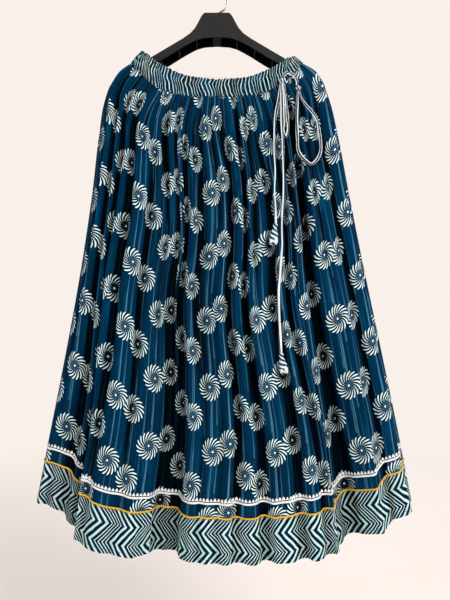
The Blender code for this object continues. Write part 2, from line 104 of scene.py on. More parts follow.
class Value:
    # one socket's number, so that shader maths reads as plain expressions
    def __init__(self, finish, socket):
        self.finish = finish
        self.socket = socket

    def math(self, operation, *others):
        sockets = {0: self}
        for slot, other in enumerate(others, 1):
            sockets[slot] = other
        return self.finish.add("Math", {"operation": operation}, sockets)

    def __add__(self, other):
        return self.math("ADD", other)

    __radd__ = __add__

    def __mul__(self, other):
        return self.math("MULTIPLY", other)

    __rmul__ = __mul__

    def __sub__(self, other):
        return self.math("SUBTRACT", other)

    def __rsub__(self, other):
        return self.finish.add("Math", {"operation": "SUBTRACT"}, {0: other, 1: self})

    def __truediv__(self, other):
        return self.math("DIVIDE", other)

    def __pow__(self, other):
        return self.math("POWER", other)

    def __abs__(self):
        return self.math("ABSOLUTE")

    def __gt__(self, other):
        return self.math("GREATER_THAN", other)

    def __lt__(self, other):
        return self.math("LESS_THAN", other)

    def floor(self):
        return self.math("FLOOR")

    def fraction(self):
        return self.math("FRACT")

    def sine(self):
        return self.math("SINE")

    def pingPong(self, span):
        return self.math("PINGPONG", span)

    def over(self, other):
        return self.math("MAXIMUM", other)

    def under(self, other):
        return self.math("MINIMUM", other)

    def rise(self, low, high):
        # 0 below low, 1 above high, and a soft step between; it falls where low is above high
        return self.finish.add(
            "MapRange",
            {"interpolation_type": "SMOOTHSTEP"},
            {"Value": self, "From Min": low, "From Max": high, "To Min": 0.0, "To Max": 1.0},
            "Result",
        )


class Finish:
    # one material and its nodes
    def __init__(self, name):
        self.material = bpy.data.materials.new(name)
        self.material.use_nodes = True
        self.nodes = self.material.node_tree.nodes
        self.links = self.material.node_tree.links
        self.shader = self.nodes["Principled BSDF"]

    def feed(self, socket, value):
        if isinstance(value, Value):
            self.links.new(value.socket, socket)
        elif value is not None:
            socket.default_value = value

    def add(self, kind, settings=None, sockets=None, output=0):
        node = self.nodes.new("ShaderNode" + kind)
        for setting, choice in (settings or {}).items():
            setattr(node, setting, choice)
        for socket, value in (sockets or {}).items():
            self.feed(node.inputs[socket], value)
        return Value(self, node.outputs[output])

    def cloth(self, layer="cloth"):
        # metres along and down the flat cloth
        place = self.add("UVMap", {"uv_map": layer})
        parts = self.add("SeparateXYZ", {}, {0: place})
        return parts, Value(self, parts.socket.node.outputs[1]), place

    def body(self):
        return Value(self, self.nodes.new("ShaderNodeTexCoord").outputs["Object"])

    def vector(self, x, y, z=0.0):
        return self.add("CombineXYZ", {}, {0: x, 1: y, 2: z})

    def noise(self, place, scale, detail=2.0, roughness=0.5):
        return self.add(
            "TexNoise", {}, {"Vector": place, "Scale": scale, "Detail": detail, "Roughness": roughness}
        )

    def chance(self, x, y=0.0, z=0.0):
        # one steady random number for each whole-numbered place
        return self.add("TexWhiteNoise", {"noise_dimensions": "3D"}, {"Vector": self.vector(x, y, z)})

    def attribute(self, name):
        return self.add("Attribute", {"attribute_name": name}, {}, "Fac")

    def mix(self, share, first, second):
        return self.add(
            "Mix",
            {"data_type": "RGBA", "clamp_factor": True},
            {0: share, 6: first, 7: second},
            2,
        )

    def bump(self, height, strength, distance):
        return self.add("Bump", {}, {"Strength": strength, "Distance": distance, "Height": height})

    def set(self, **sockets):
        for socket, value in sockets.items():
            self.feed(self.shader.inputs[socket.replace("_", " ")], value)
        return self.material


# Prints

flowerPrint = {
    "column": 0.0455,  # from one column of flowers to the next
    "drop": 0.124,  # from one flower to the next down a column
    "radius": 0.0262,
    "petals": 17,
    "innerEnd": 0.40,
    "swirl": 0.62,  # turn of a petal from its inner to its outer end, in radians
    # columns come in fours: how far down, in repeats, each starts
    "firstDrop": 0.45,
    "mateDrop": 0.14,
    "nextDrop": 0.62,
    "shiftAcross": 0.008,
    "shiftDown": 0.10,
    "jitter": 0.006,  # how far a flower or a stem stands off its place
    "rowJitter": 0.09,
    "tipStart": 0.84,
    "petalWidth": 0.24,
    "petalSwell": 0.19,
    "spokes": 9,  # dark strokes in the hub
    "stemHalf": 0.0003,
    "stemSwell": 0.0010,
    "rungPitch": 0.0042,
    "white": fromPaint(232, 255, 255),
    "worn": fromPaint(176, 220, 240),
    "indigo": fromPaint(0, 57, 89),
    "deep": fromPaint(0, 32, 56),
    "bright": fromPaint(0, 86, 128),
    "gaps": fromPaint(2, 26, 48),
    "hub": fromPaint(4, 44, 72),
    "stem": fromPaint(104, 164, 196),
}


def flowerLayer(finish, across, down, odd, looks):
    # every other column of flowers, so that a flower may reach over its own column's edge
    twoColumns = 2 * looks["column"]
    place = across / twoColumns + (0.5 * odd + looks["shiftAcross"])
    column = (place + 0.5).floor()
    roll = finish.chance(column, 3.7 + odd)
    sideways = (place - column) * twoColumns
    four = (column * 0.5).fraction() * 2
    mate = looks["mateDrop"] - 2 * looks["mateDrop"] * four
    start = looks["firstDrop"] + four * looks["nextDrop"] + odd * mate
    rows = down / looks["drop"] - start + (roll - 0.5) * looks["rowJitter"] + looks["shiftDown"]
    row = (rows + 0.5).floor()
    below = (rows - row) * looks["drop"]
    flower = finish.chance(column, row, 1.3 + odd)
    x = sideways + (flower - 0.5) * looks["jitter"]
    y = below + (finish.chance(column, row, 5.1 + odd) - 0.5) * looks["jitter"]
    radius = (x * x + y * y).math("SQRT") / looks["radius"]
    angle = y.math("ARCTAN2", x)
    # petals: each curls clockwise as it leaves the hub, and its tip is round
    turn = angle - looks["swirl"] * ((radius - looks["innerEnd"]) / (1 - looks["innerEnd"]))
    phase = (turn * (looks["petals"] / (2 * math.pi)) + flower * 7.0).fraction()
    away = abs(phase - 0.5) * 2
    pastStart = ((radius - looks["tipStart"]) / (1 - looks["tipStart"])).over(0.0)
    tip = (1 - pastStart**2).over(0.0).math("SQRT")
    swollen = looks["petalWidth"] + looks["petalSwell"] * radius.rise(0.42, 0.80)
    width = swollen * tip * radius.rise(0.33, 0.44)
    petal = (away - width).rise(0.07, -0.07) * (radius < 1.0)
    dot = radius.rise(0.10, 0.06)
    strokePhase = (angle * (looks["spokes"] / (2 * math.pi)) + radius * 1.4).fraction()
    stroke = abs(strokePhase - 0.5).rise(0.20, 0.10) * radius.rise(0.13, 0.18) * radius.rise(0.37, 0.31)
    disc = radius.rise(1.04, 0.96)
    inside = radius.rise(0.46, 0.30)
    # the stem widens from under one flower to the next, and is a plain line or a ladder
    between = rows.fraction() * looks["drop"]
    share = (between - looks["radius"]) / (looks["drop"] - 2 * looks["radius"])
    half = looks["stemHalf"] + looks["stemSwell"] * share.rise(-0.1, 1.0)
    stemX = abs(sideways + (roll - 0.5) * looks["jitter"])
    solid = (stemX - half).rise(0.0004, -0.0002)
    rail = abs(stemX - half * 0.85).rise(0.0007, 0.0003)
    rung = (down / looks["rungPitch"]).fraction().rise(0.38, 0.30) * solid
    ladder = rail.over(rung)
    stem = ladder + (solid * 0.75 - ladder) * (finish.chance(column, row, 9.4 + odd) > 0.5)
    return petal, dot, stroke, disc, inside, stem


def flowerCloth(name, faded=False):
    finish = Finish(name)
    looks = flowerPrint
    across, down, place = finish.cloth()
    # hand printing wanders a little
    wander = finish.noise(place, 260.0, 1.0) - 0.5
    drift = finish.noise(place, 9.0, 1.0) - 0.5
    printX = across + wander * 0.0008 + drift * 0.006
    printY = down + (finish.noise(place, 310.0, 1.0) - 0.5) * 0.0008
    streak = finish.noise(finish.vector(across, down * 0.07), 150.0, 3.0, 0.6)
    tone = finish.noise(finish.vector(across, down * 0.25), 14.0, 2.0)
    ground = finish.mix((streak * 0.7 + tone * 0.7 - 0.42) * 1.6, looks["deep"], looks["indigo"])
    ground = finish.mix(streak.rise(0.56, 0.72) * 0.55, ground, looks["bright"])
    # fine lines fan down between the columns
    finePitch = looks["column"] / 3
    line = printX / finePitch + 0.21
    lineIndex = (line + 0.5).floor()
    lineRoll = finish.chance(lineIndex, 2.2)
    lineX = abs((line - lineIndex) * finePitch + (lineRoll - 0.5) * 0.005)
    lineShare = (down / looks["drop"] + lineRoll * 5.0).fraction()
    lineHalf = 0.0003 + 0.0011 * lineShare
    fine = (lineX - lineHalf).rise(0.0005, -0.0002) * (0.25 + 0.55 * lineShare) * (lineRoll > 0.25)
    ground = finish.mix(fine * 0.42, ground, looks["stem"])
    layers = [flowerLayer(finish, printX, printY, odd, looks) for odd in (0, 1)]
    worn = finish.noise(place, 42.0, 2.0).rise(0.64, 0.74)
    white = finish.mix(worn * 0.5, looks["white"], looks["worn"])
    printedWhite = 0.0
    for petal, dot, stroke, disc, inside, stem in layers:
        ground = finish.mix(stem * (1 - disc) * 0.52, ground, looks["stem"])
    for petal, dot, stroke, disc, inside, stem in layers:
        ground = finish.mix(disc * 0.85, ground, looks["gaps"])
        ground = finish.mix(inside * 0.8, ground, looks["hub"])
        ground = finish.mix(stroke * 0.42, ground, looks["stem"])
        ground = finish.mix(petal.over(dot) * 0.97, ground, white)
        printedWhite = petal.over(dot) + printedWhite
    if faded:
        ground = finish.mix(0.55, ground, fromPaint(60, 96, 128))
    return clothSurface(finish, ground, across, down, printedWhite.under(1.0))


def clothSurface(finish, colour, across, down, pale):
    # plain-weave cotton: threads, soft crinkle, and painted shade gathered deep in the folds
    # painted shade: the fold shade stored on each point darkens the colour to near black
    shade = finish.attribute("fold")
    # the white of the print still shows where the indigo is lost in shade
    colour = finish.mix(shade.rise(0.0, 0.85) * (0.96 - 0.54 * pale), colour, fromPaint(1, 4, 8))
    threads = (across * (2 * math.pi / 0.0007)).sine() * (down * (2 * math.pi / 0.0007)).sine()
    crinkle = finish.noise(finish.vector(across, down * 0.35), 210.0, 3.0)
    height = threads * 0.00005 + crinkle * 0.0009
    normal = finish.bump(height, 0.55, 1.0)
    return finish.set(
        Base_Color=colour,
        Roughness=0.84 + 0.08 * crinkle,
        Normal=normal,
        Specular_IOR_Level=0.02,
    )


chevronPrint = {
    "repeat": 0.0700,
    "leg": 0.0345,  # height of one leg of a zig-zag
    "reach": 0.032,  # how far a leg goes sideways
    "wideSpan": 0.0420,
    "widePitch": 0.0140,
    "wideShare": 0.41,
    "thinPitch": 0.0070,
    "thinShare": 0.29,
    "steeper": 0.55,  # how far a leg of the gathered band goes, of the flat cloth's reach
    "sparser": 4 / 3,
    "join": 0.345,  # where two strips of the border are pieced, across the panel
    "pale": fromPaint(214, 240, 240),
    "mint": fromPaint(188, 226, 216),
    "teal": fromPaint(6, 72, 98),
    "cream": fromPaint(232, 236, 206),
    "indigo": fromPaint(0, 42, 66),
    "deep": fromPaint(0, 22, 40),
}


def chevronCloth(name, start=0.0, pieced=False, faded=False, crumple=0.0, slimmer=1.0):
    finish = Finish(name)
    looks = chevronPrint
    wideHalf = looks["wideShare"] * slimmer / 2
    reach, thinPitch = looks["reach"], looks["thinPitch"]
    if crumple:
        # drawn up on its elastic, the stripes of the band stand steep, and few of them are fine
        reach, thinPitch = reach * looks["steeper"], thinPitch * looks["sparser"]
    thinHalf = looks["thinShare"] * slimmer / 2
    across, down, place = finish.cloth()
    rough = (finish.noise(place, 330.0, 2.0) - 0.5) * 0.0016 + (finish.noise(place, 40.0, 1.0) - 0.5) * 0.004
    leg = looks["leg"]
    lift = start
    if pieced:
        lift = start + leg * (across < looks["join"])
    if crumple:
        # gathers drag the stripes about
        rough = rough + (finish.noise(finish.vector(across * 0.4, down), 48.0, 1.0) - 0.5) * crumple
        lift = lift + (finish.noise(finish.vector(across, 0.0), 16.0, 1.0) - 0.5) * crumple * 3
    zig = (down + lift).pingPong(leg)
    along = across + zig * (reach / looks["leg"]) + rough
    spot = (along / looks["repeat"]).fraction() * looks["repeat"]
    wide = (spot / looks["widePitch"]).fraction()
    wideMask = abs(wide - 0.5).rise(wideHalf + 0.03, wideHalf - 0.03)
    thin = ((spot - looks["wideSpan"]) / thinPitch).fraction()
    thinMask = abs(thin - 0.5).rise(thinHalf + 0.05, thinHalf - 0.05)
    isWide = spot < looks["wideSpan"]
    mask = thinMask + (wideMask - thinMask) * isWide
    tone = finish.noise(place, 26.0, 2.0)
    pale = finish.mix(tone.rise(0.42, 0.62) * isWide, looks["pale"], looks["mint"])
    ground = finish.mix(finish.noise(place, 60.0, 3.0).rise(0.35, 0.65), looks["deep"], looks["indigo"])
    if crumple:
        # the band's dye is uneven: paler teal runs, and cream where the resist was thick
        ground = finish.mix(finish.noise(place, 34.0, 2.0).rise(0.46, 0.62) * 0.8, ground, looks["teal"])
        pale = finish.mix(finish.noise(place, 12.0, 1.0).rise(0.46, 0.62), pale, looks["cream"])
    colour = finish.mix(mask * 0.97, ground, pale)
    if faded:
        colour = finish.mix(0.5, colour, fromPaint(120, 146, 164))
    return clothSurface(finish, colour, across, down, mask)


def trimFinish(name, colour, dark, scale, roughness):
    # thread-covered cord or crochet: twisted relief on the way it runs
    finish = Finish(name)
    along = finish.attribute("along")
    around = finish.attribute("around")
    twist = (along * (2 * math.pi / scale) + around * 2 * math.pi).sine()
    grain = finish.noise(finish.body(), 900.0, 2.0)
    # painted shade: darker bands where the grooves of the twist run, mixed with random grain
    shade = (twist * 0.30 + 0.35) * 0.8 + grain * 0.3
    return finish.set(
        Base_Color=finish.mix(shade, dark, colour),
        Roughness=roughness + 0.1 * grain,
        Normal=finish.bump(twist * 0.0002 + grain * 0.0002, 0.6, 1.0),
        Specular_IOR_Level=0.3,
    )


def knittedFinish(name, colour, dark):
    # crochet picots, lit thread by thread
    finish = Finish(name)
    place = finish.body()
    grain = finish.noise(place, 620.0, 3.0, 0.6)
    loops = finish.noise(place, 190.0, 1.0)
    return finish.set(
        Base_Color=finish.mix(grain * 0.7 + loops * 0.5 - 0.1, dark, colour),
        Roughness=0.86 + 0.08 * grain,
        Normal=finish.bump(grain * 0.0006 + loops * 0.0006, 0.6, 1.0),
        Specular_IOR_Level=0.2,
    )


def tieFinish(name):
    # folded cloth tie: white edges, a blue middle, and slanting lines of the same print
    finish = Finish(name)
    around, along = finish.cloth("tie")[:2]
    side = (around * 2 * math.pi).math("COSINE")
    edge = side.rise(0.10, 0.24).over(side.rise(-0.78, -0.90))
    lines = ((along / 0.0115 + around * 2.0).fraction() - 0.5)
    slant = abs(lines).rise(0.30, 0.24) * 0.06
    grain = finish.noise(finish.body(), 700.0, 2.0)
    blue = finish.mix(grain, fromPaint(0, 18, 38), fromPaint(6, 46, 76))
    pale = finish.mix(grain, fromPaint(234, 241, 242), fromPaint(255, 255, 252))
    return finish.set(
        Base_Color=finish.mix(edge.over(slant), blue, pale),
        Roughness=0.82 + 0.1 * grain,
        Normal=finish.bump(grain * 0.0003, 0.5, 1.0),
        Specular_IOR_Level=0.25,
    )


def tasselFinish(name):
    finish = Finish(name)
    around, along = finish.cloth("tie")[:2]
    grain = finish.noise(finish.body(), 500.0, 2.0)
    wave = ((along / 0.0088 + around * 2.0 + (grain - 0.5) * 0.15).fraction() - 0.5)
    stripe = abs(wave).rise(0.27, 0.20)
    blue = finish.mix(grain, fromPaint(4, 34, 62), fromPaint(20, 82, 120))
    pale = finish.mix(grain, fromPaint(190, 212, 222), fromPaint(244, 246, 244))
    return finish.set(
        Base_Color=finish.mix(stripe, blue, pale),
        Roughness=0.84 + 0.08 * grain,
        Normal=finish.bump(grain * 0.0014 + stripe * 0.0004, 0.6, 1.0),
        Specular_IOR_Level=0.25,
    )


def petalFinish(name):
    finish = Finish(name)
    grain = finish.noise(finish.body(), 420.0, 3.0)
    return finish.set(
        Base_Color=finish.mix(grain, fromPaint(214, 220, 218), fromPaint(252, 250, 244)),
        Roughness=0.8 + 0.1 * grain,
        Normal=finish.bump(grain * 0.001, 0.6, 1.0),
        Specular_IOR_Level=0.25,
    )


def plasticFinish(name):
    # moulded charcoal plastic: fine spark texture, cloudy tone, rubbed spots
    finish = Finish(name)
    place = finish.body()
    spark = finish.noise(place, 1500.0, 2.0)
    cloud = finish.noise(place, 26.0, 3.0, 0.6)
    rubbed = finish.noise(place, 85.0, 4.0, 0.7).rise(0.62, 0.74)
    low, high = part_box("hanger_body")
    middle, half = (low[1] + high[1]) / 2, (high[1] - low[1]) / 2
    depthIn = abs(Value(finish, finish.add("SeparateXYZ", {}, {0: place}).socket.node.outputs[1]) - middle)
    pocketShade = depthIn.rise(half - 0.0010, half - 0.0030)
    colour = finish.mix(cloud, fromPaint(30, 30, 29), fromPaint(44, 43, 41))
    colour = finish.mix(rubbed * 0.22, colour, fromPaint(92, 90, 86))
    # painted shade: little light reaches the ribbed pocket underneath, so it is coloured near black
    colour = finish.mix(pocketShade * 0.94, colour, fromPaint(2, 2, 2))
    return finish.set(
        Base_Color=colour,
        Roughness=0.50 + 0.18 * cloud + 0.12 * rubbed,
        Normal=finish.bump(spark * 0.0003 + cloud * 0.0004, 0.5, 1.0),
        Specular_IOR_Level=0.12,
    )


def chromeFinish(name):
    finish = Finish(name)
    place = finish.body()
    smear = finish.noise(place, 120.0, 3.0)
    drawn = finish.add("Mapping", {}, {"Vector": place, "Scale": (1.0, 1.0, 14.0)})
    scratch = finish.noise(drawn, 260.0, 2.0)
    return finish.set(
        Base_Color=finish.mix(smear, fromPaint(150, 148, 144), fromPaint(204, 202, 198)),
        Metallic=1.0,
        Roughness=0.13 + 0.14 * smear + 0.06 * scratch,
        Normal=finish.bump(scratch * 0.0001, 0.3, 1.0),
    )


def threadFinish(name, colour):
    finish = Finish(name)
    grain = finish.noise(finish.body(), 1100.0, 2.0)
    return finish.set(
        Base_Color=finish.mix(grain * 0.5, colour, fromPaint(4, 20, 40)),
        Roughness=0.7 + 0.1 * grain,
        Normal=finish.bump(grain * 0.0006, 0.5, 1.0),
        Specular_IOR_Level=0.3,
    )


print("finishes ready")

# The skirt's form

skirt = {
    "gap": 0.0003,
    "cloth": 0.0012,
    "panelWidth": 1.10,
    "bodyDrop": 0.800,
    "borderDrop": 0.083,
    "flutes": 20,
    "fluteDrift": 0.006,
    "fluteUneven": 0.35,
    "fluteBeats": 4.3,
    "shoulderWidth": 0.045,
    "shoulderDrop": 0.10,
    "shoulderCalm": 0.75,
    "columnsPerFlute": 4,
    "wallSlope": 1.45,
    "wallBend": 0.3,
    "hemFlare": 1.06,
    "steepest": 0.34,
    "easing": 0.13,
    "ovalPoints": 721,
    "ringPoints": 1601,
    # drop, half width, shift, z at the sides, z at the middle, depth in front, behind, power, sag
    "sections": [
        (0.000, 0.1670, 0.000, -0.1740, -0.2455, 0.0330, 0.0330, 6.0, 3.7),
        (0.030, 0.1925, 0.000, -0.1885, -0.2755, 0.0350, 0.0345, 5.0, 3.4),
        (0.058, 0.2100, 0.000, -0.2105, -0.3035, 0.0375, 0.0360, 4.2, 3.2),
        (0.095, 0.2200, 0.001, -0.2460, -0.3400, 0.0410, 0.0370, 3.6, 3.0),
        (0.200, 0.2350, 0.005, -0.3500, -0.4440, 0.0490, 0.0390, 3.0, 2.8),
        (0.400, 0.2700, 0.010, -0.5500, -0.6430, 0.0640, 0.0430, 2.7, 2.8),
        (0.600, 0.3110, 0.013, -0.7520, -0.8415, 0.0790, 0.0480, 2.5, 3.0),
        (0.800, 0.3540, 0.014, -0.9580, -1.0400, 0.0930, 0.0540, 2.4, 3.3),
        (0.883, 0.3700, 0.014, -1.0420, -1.1225, 0.0980, 0.0570, 2.4, 3.6),
    ],
    "fluteDrops": [0.0, 0.03, 0.09, 0.22, 0.42, 0.62, 0.80, 0.883],
    "fluteDepths": [0.0034, 0.0050, 0.0082, 0.0090, 0.0072, 0.0055, 0.0038, 0.0042],
    "foldDrops": [0.0, 0.09, 0.42, 0.80, 0.883],
    "bodyDrops": [0.0005, 0.012, 0.030, 0.055, 0.090, 0.160, 0.270, 0.400, 0.540, 0.664, 0.764, 0.800],
    "borderDrops": [0.8415, 0.883],
    # place across, width of the floor, depths at the waist, middle and hem, lean
    "frontFolds": [
        (0.085, 0.060, 0.000, 0.012, 0.036, 0.006),
        (0.168, 0.012, 0.003, 0.009, 0.008, 0.000),
        (0.250, 0.008, 0.007, 0.022, 0.012, -0.004),
        (0.350, 0.026, 0.006, 0.032, 0.052, 0.000),
        (0.440, 0.008, 0.007, 0.022, 0.010, 0.000),
        (0.515, 0.006, 0.006, 0.018, 0.010, 0.000),
        (0.588, 0.012, 0.005, 0.016, 0.014, 0.000),
        (0.662, 0.008, 0.008, 0.024, 0.014, 0.004),
        (0.733, 0.008, 0.006, 0.018, 0.014, 0.000),
        (0.818, 0.016, 0.008, 0.034, 0.052, -0.004),
        (0.915, 0.020, 0.003, 0.012, 0.016, 0.000),
    ],
    "backFolds": [
        (0.095, 0.010, 0.002, 0.012, 0.022, 0.006),
        (0.190, 0.010, 0.006, 0.014, 0.014, 0.000),
        (0.285, 0.008, 0.006, 0.018, 0.028, -0.006),
        (0.380, 0.012, 0.004, 0.014, 0.012, 0.000),
        (0.480, 0.006, 0.008, 0.020, 0.030, 0.006),
        (0.580, 0.010, 0.004, 0.014, 0.012, 0.000),
        (0.675, 0.010, 0.005, 0.016, 0.028, 0.000),
        (0.770, 0.012, 0.004, 0.012, 0.012, 0.000),
        (0.870, 0.008, 0.004, 0.014, 0.024, -0.006),
    ],
}
hemDrop = skirt["bodyDrop"] + skirt["borderDrop"]


def smoothTable(knots, values, at):
    # a smooth curve through a table, whose values may be numbers or whole rows of points
    knots = np.asarray(knots, float)
    values = np.asarray(values, float)
    slopes = np.gradient(values, knots, axis=0)
    at = np.asarray(at, float)
    i = np.clip(np.searchsorted(knots, at, side="right") - 1, 0, len(knots) - 2)
    span = knots[i + 1] - knots[i]
    t = (at - knots[i]) / span
    extra = values.ndim - 1
    span = span.reshape(span.shape + (1,) * extra)
    t = t.reshape(t.shape + (1,) * extra)
    return (
        (2 * t**3 - 3 * t**2 + 1) * values[i]
        + (t**3 - 2 * t**2 + t) * span * slopes[i]
        + (3 * t**2 - 2 * t**3) * values[i + 1]
        + (t**3 - t**2) * span * slopes[i + 1]
    )


def unit(vectors):
    return vectors / np.maximum(np.linalg.norm(vectors, axis=-1, keepdims=True), 1e-12)


def halfOval(halfWidth, depth, power, share):
    angle = np.linspace(0, math.pi, skirt["ovalPoints"])
    x = -halfWidth * np.sign(np.cos(angle)) * np.abs(np.cos(angle)) ** (2 / power)
    y = depth * np.abs(np.sin(angle)) ** (2 / power)
    length = np.concatenate([[0], np.cumsum(np.hypot(np.diff(x), np.diff(y)))])
    length /= length[-1]
    return np.interp(share, length, x), np.interp(share, length, y)


def foldWall(t):
    bend = skirt["wallBend"]
    t = np.clip(t, 0, 1)
    top = 1 / (1 - bend)
    start = top * t**2 / (2 * bend)
    middle = top * (t - bend / 2)
    end = 1 - top * (1 - t) ** 2 / (2 * bend)
    return np.where(t < bend, start, np.where(t > 1 - bend, end, middle))


def foldsAt(across, drop, folds):
    outward = np.zeros_like(across)
    sideways = np.zeros_like(across)
    for place, floor, waist, middle, hem, lean in folds:
        depths = [0.0, waist, middle, hem, hem * skirt["hemFlare"]]
        depth = max(float(smoothTable(skirt["foldDrops"], depths, drop)), 0.0)
        if depth < 1e-5:
            continue
        away = np.abs(across - place) * skirt["panelWidth"] - floor / 2
        inside = 1 - foldWall(away / (skirt["wallSlope"] * depth))
        outward -= depth * inside
        sideways += lean * depth / max(hem, middle) * inside
    return outward, sideways


def flutesAt(across, drop, side):
    depth = float(np.interp(drop, skirt["fluteDrops"], skirt["fluteDepths"]))
    phase = across + skirt["fluteDrift"] * np.sin(2 * math.pi * (3 * across + 0.1 * side))
    beat = 2 * math.pi * (skirt["fluteBeats"] * across + 0.3 * side) + 2.0 * drop
    uneven = 1 + skirt["fluteUneven"] * np.sin(beat)
    edge = np.minimum(across, 1 - across)
    nearTop = math.exp(-((drop / skirt["shoulderDrop"]) ** 2))
    ends = 1 - skirt["shoulderCalm"] * np.exp(-((edge / skirt["shoulderWidth"]) ** 2)) * nearTop
    return depth * uneven * ends * np.cos(2 * math.pi * skirt["flutes"] * phase)


def clothRing(across, drop, side):
    knots = [row[0] for row in skirt["sections"]]
    columns = list(zip(*skirt["sections"]))[1:]
    halfWidth, shift, sideZ, centreZ, front, back, power, sag = (
        float(smoothTable(knots, column, drop)) for column in columns
    )
    fine = np.linspace(0, 1, skirt["ringPoints"])
    outward, sideways = foldsAt(fine, drop, skirt["frontFolds"] if side < 0 else skirt["backFolds"])
    outward = outward + flutesAt(fine, drop, side)
    slope = np.gradient(outward, fine) / skirt["panelWidth"]
    advance = np.sqrt(np.maximum(1 - slope**2, skirt["steepest"] ** 2))
    share = np.concatenate([[0], np.cumsum((advance[1:] + advance[:-1]) / 2)])
    share /= share[-1]
    x, y = halfOval(halfWidth, front if side < 0 else back, power, share)
    tangent = np.stack([np.gradient(x), np.gradient(y)])
    tangent /= np.linalg.norm(tangent, axis=0)
    z = centreZ + (sideZ - centreZ) * np.abs(x / halfWidth) ** sag
    px = x - tangent[1] * outward + tangent[0] * sideways + shift
    py = y + tangent[0] * outward + tangent[1] * sideways + skirt["gap"] / 2
    row = [np.interp(across, fine, px), side * np.interp(across, fine, py), np.interp(across, fine, z)]
    return np.stack(row, axis=-1), np.interp(across, fine, outward)


def panelGrid(side):
    # the panel's points on the same grid as the solid's
    drops = np.array(skirt["bodyDrops"] + skirt["borderDrops"])
    across = np.linspace(0, 1, skirt["flutes"] * skirt["columnsPerFlute"] + 1)
    rings = [clothRing(across, drop, side) for drop in drops]
    points = np.array([ring[0] for ring in rings])
    depth = np.array([ring[1] for ring in rings])
    points[:, 1:-1] += skirt["easing"] * (points[:, :-2] - 2 * points[:, 1:-1] + points[:, 2:])
    return drops, across, points, depth


drape = {
    "columns": 352,
    "rows": 104,
    "borderRows": 16,
    "pleatPitch": 0.0125,
    "pleatDepth": 0.0011,
    "pleatReach": 0.10,
    "rippleDepth": 0.0013,
    "hemRipple": 0.0022,
    "ridgeShow": 0.5,
    "ridgeReach": 0.34,
    # soft creases: start across and down, end across and down in metres, width, height
    "frontCreases": [
        (0.297, 0.000, 0.300, 0.340, 0.0075, -0.0062), (0.383, 0.000, 0.392, 0.420, 0.0090, -0.0075),
        (0.470, 0.000, 0.474, 0.300, 0.0075, -0.0056), (0.560, 0.000, 0.553, 0.200, 0.0070, -0.0045),
        (0.705, 0.000, 0.700, 0.360, 0.0080, -0.0066), (0.762, 0.000, 0.757, 0.260, 0.0070, -0.0052),
        (0.835, 0.000, 0.846, 0.400, 0.0085, -0.0070), (0.905, 0.000, 0.912, 0.330, 0.0080, -0.0060),
        (0.640, 0.000, 0.645, 0.180, 0.0065, -0.0040), (0.975, 0.010, 0.985, 0.300, 0.0080, -0.0055),
        (0.225, 0.000, 0.232, 0.300, 0.0080, -0.0050), (0.150, 0.000, 0.160, 0.200, 0.0075, -0.0045),
        (0.085, 0.060, 0.120, 0.330, 0.011, -0.0030), (0.155, 0.220, 0.180, 0.440, 0.009, -0.0028),
        (0.235, 0.120, 0.215, 0.430, 0.012, 0.0026), (0.300, 0.030, 0.330, 0.300, 0.008, -0.0030),
        (0.350, 0.330, 0.325, 0.760, 0.013, -0.0034), (0.455, 0.080, 0.440, 0.420, 0.009, -0.0030),
        (0.520, 0.260, 0.540, 0.690, 0.012, 0.0028), (0.600, 0.050, 0.610, 0.300, 0.008, -0.0032),
        (0.640, 0.360, 0.620, 0.780, 0.013, -0.0034), (0.700, 0.100, 0.690, 0.440, 0.010, 0.0024),
        (0.765, 0.040, 0.775, 0.360, 0.009, -0.0032), (0.840, 0.420, 0.860, 0.800, 0.013, -0.0030),
        (0.860, 0.080, 0.880, 0.380, 0.010, -0.0030), (0.960, 0.150, 0.985, 0.560, 0.013, 0.0030),
        (0.995, 0.060, 1.020, 0.400, 0.011, -0.0028), (0.180, 0.500, 0.150, 0.800, 0.014, -0.0032),
    ],
    "backCreases": [
        (0.120, 0.000, 0.126, 0.260, 0.0075, -0.0050), (0.210, 0.000, 0.214, 0.330, 0.0080, -0.0060),
        (0.312, 0.000, 0.318, 0.300, 0.0080, -0.0058), (0.405, 0.000, 0.400, 0.380, 0.0085, -0.0066),
        (0.500, 0.000, 0.505, 0.260, 0.0070, -0.0048), (0.600, 0.000, 0.595, 0.360, 0.0085, -0.0064),
        (0.690, 0.000, 0.697, 0.300, 0.0075, -0.0055), (0.785, 0.000, 0.780, 0.340, 0.0080, -0.0062),
        (0.880, 0.000, 0.885, 0.250, 0.0075, -0.0050), (0.965, 0.000, 0.975, 0.300, 0.0080, -0.0052),
        (0.070, 0.080, 0.100, 0.360, 0.011, -0.0028), (0.165, 0.240, 0.185, 0.480, 0.009, -0.0028),
        (0.250, 0.150, 0.235, 0.520, 0.012, 0.0026), (0.345, 0.060, 0.360, 0.330, 0.009, -0.0030),
        (0.420, 0.350, 0.400, 0.760, 0.013, -0.0032), (0.480, 0.100, 0.470, 0.420, 0.010, -0.0028),
        (0.580, 0.300, 0.600, 0.700, 0.012, 0.0028), (0.655, 0.050, 0.660, 0.330, 0.009, -0.0030),
        (0.700, 0.380, 0.690, 0.790, 0.013, -0.0032), (0.790, 0.100, 0.800, 0.430, 0.010, -0.0028),
        (0.880, 0.400, 0.900, 0.790, 0.013, -0.0030), (0.900, 0.060, 0.915, 0.350, 0.010, 0.0026),
        (1.000, 0.100, 1.020, 0.460, 0.012, -0.0028),
    ],
}


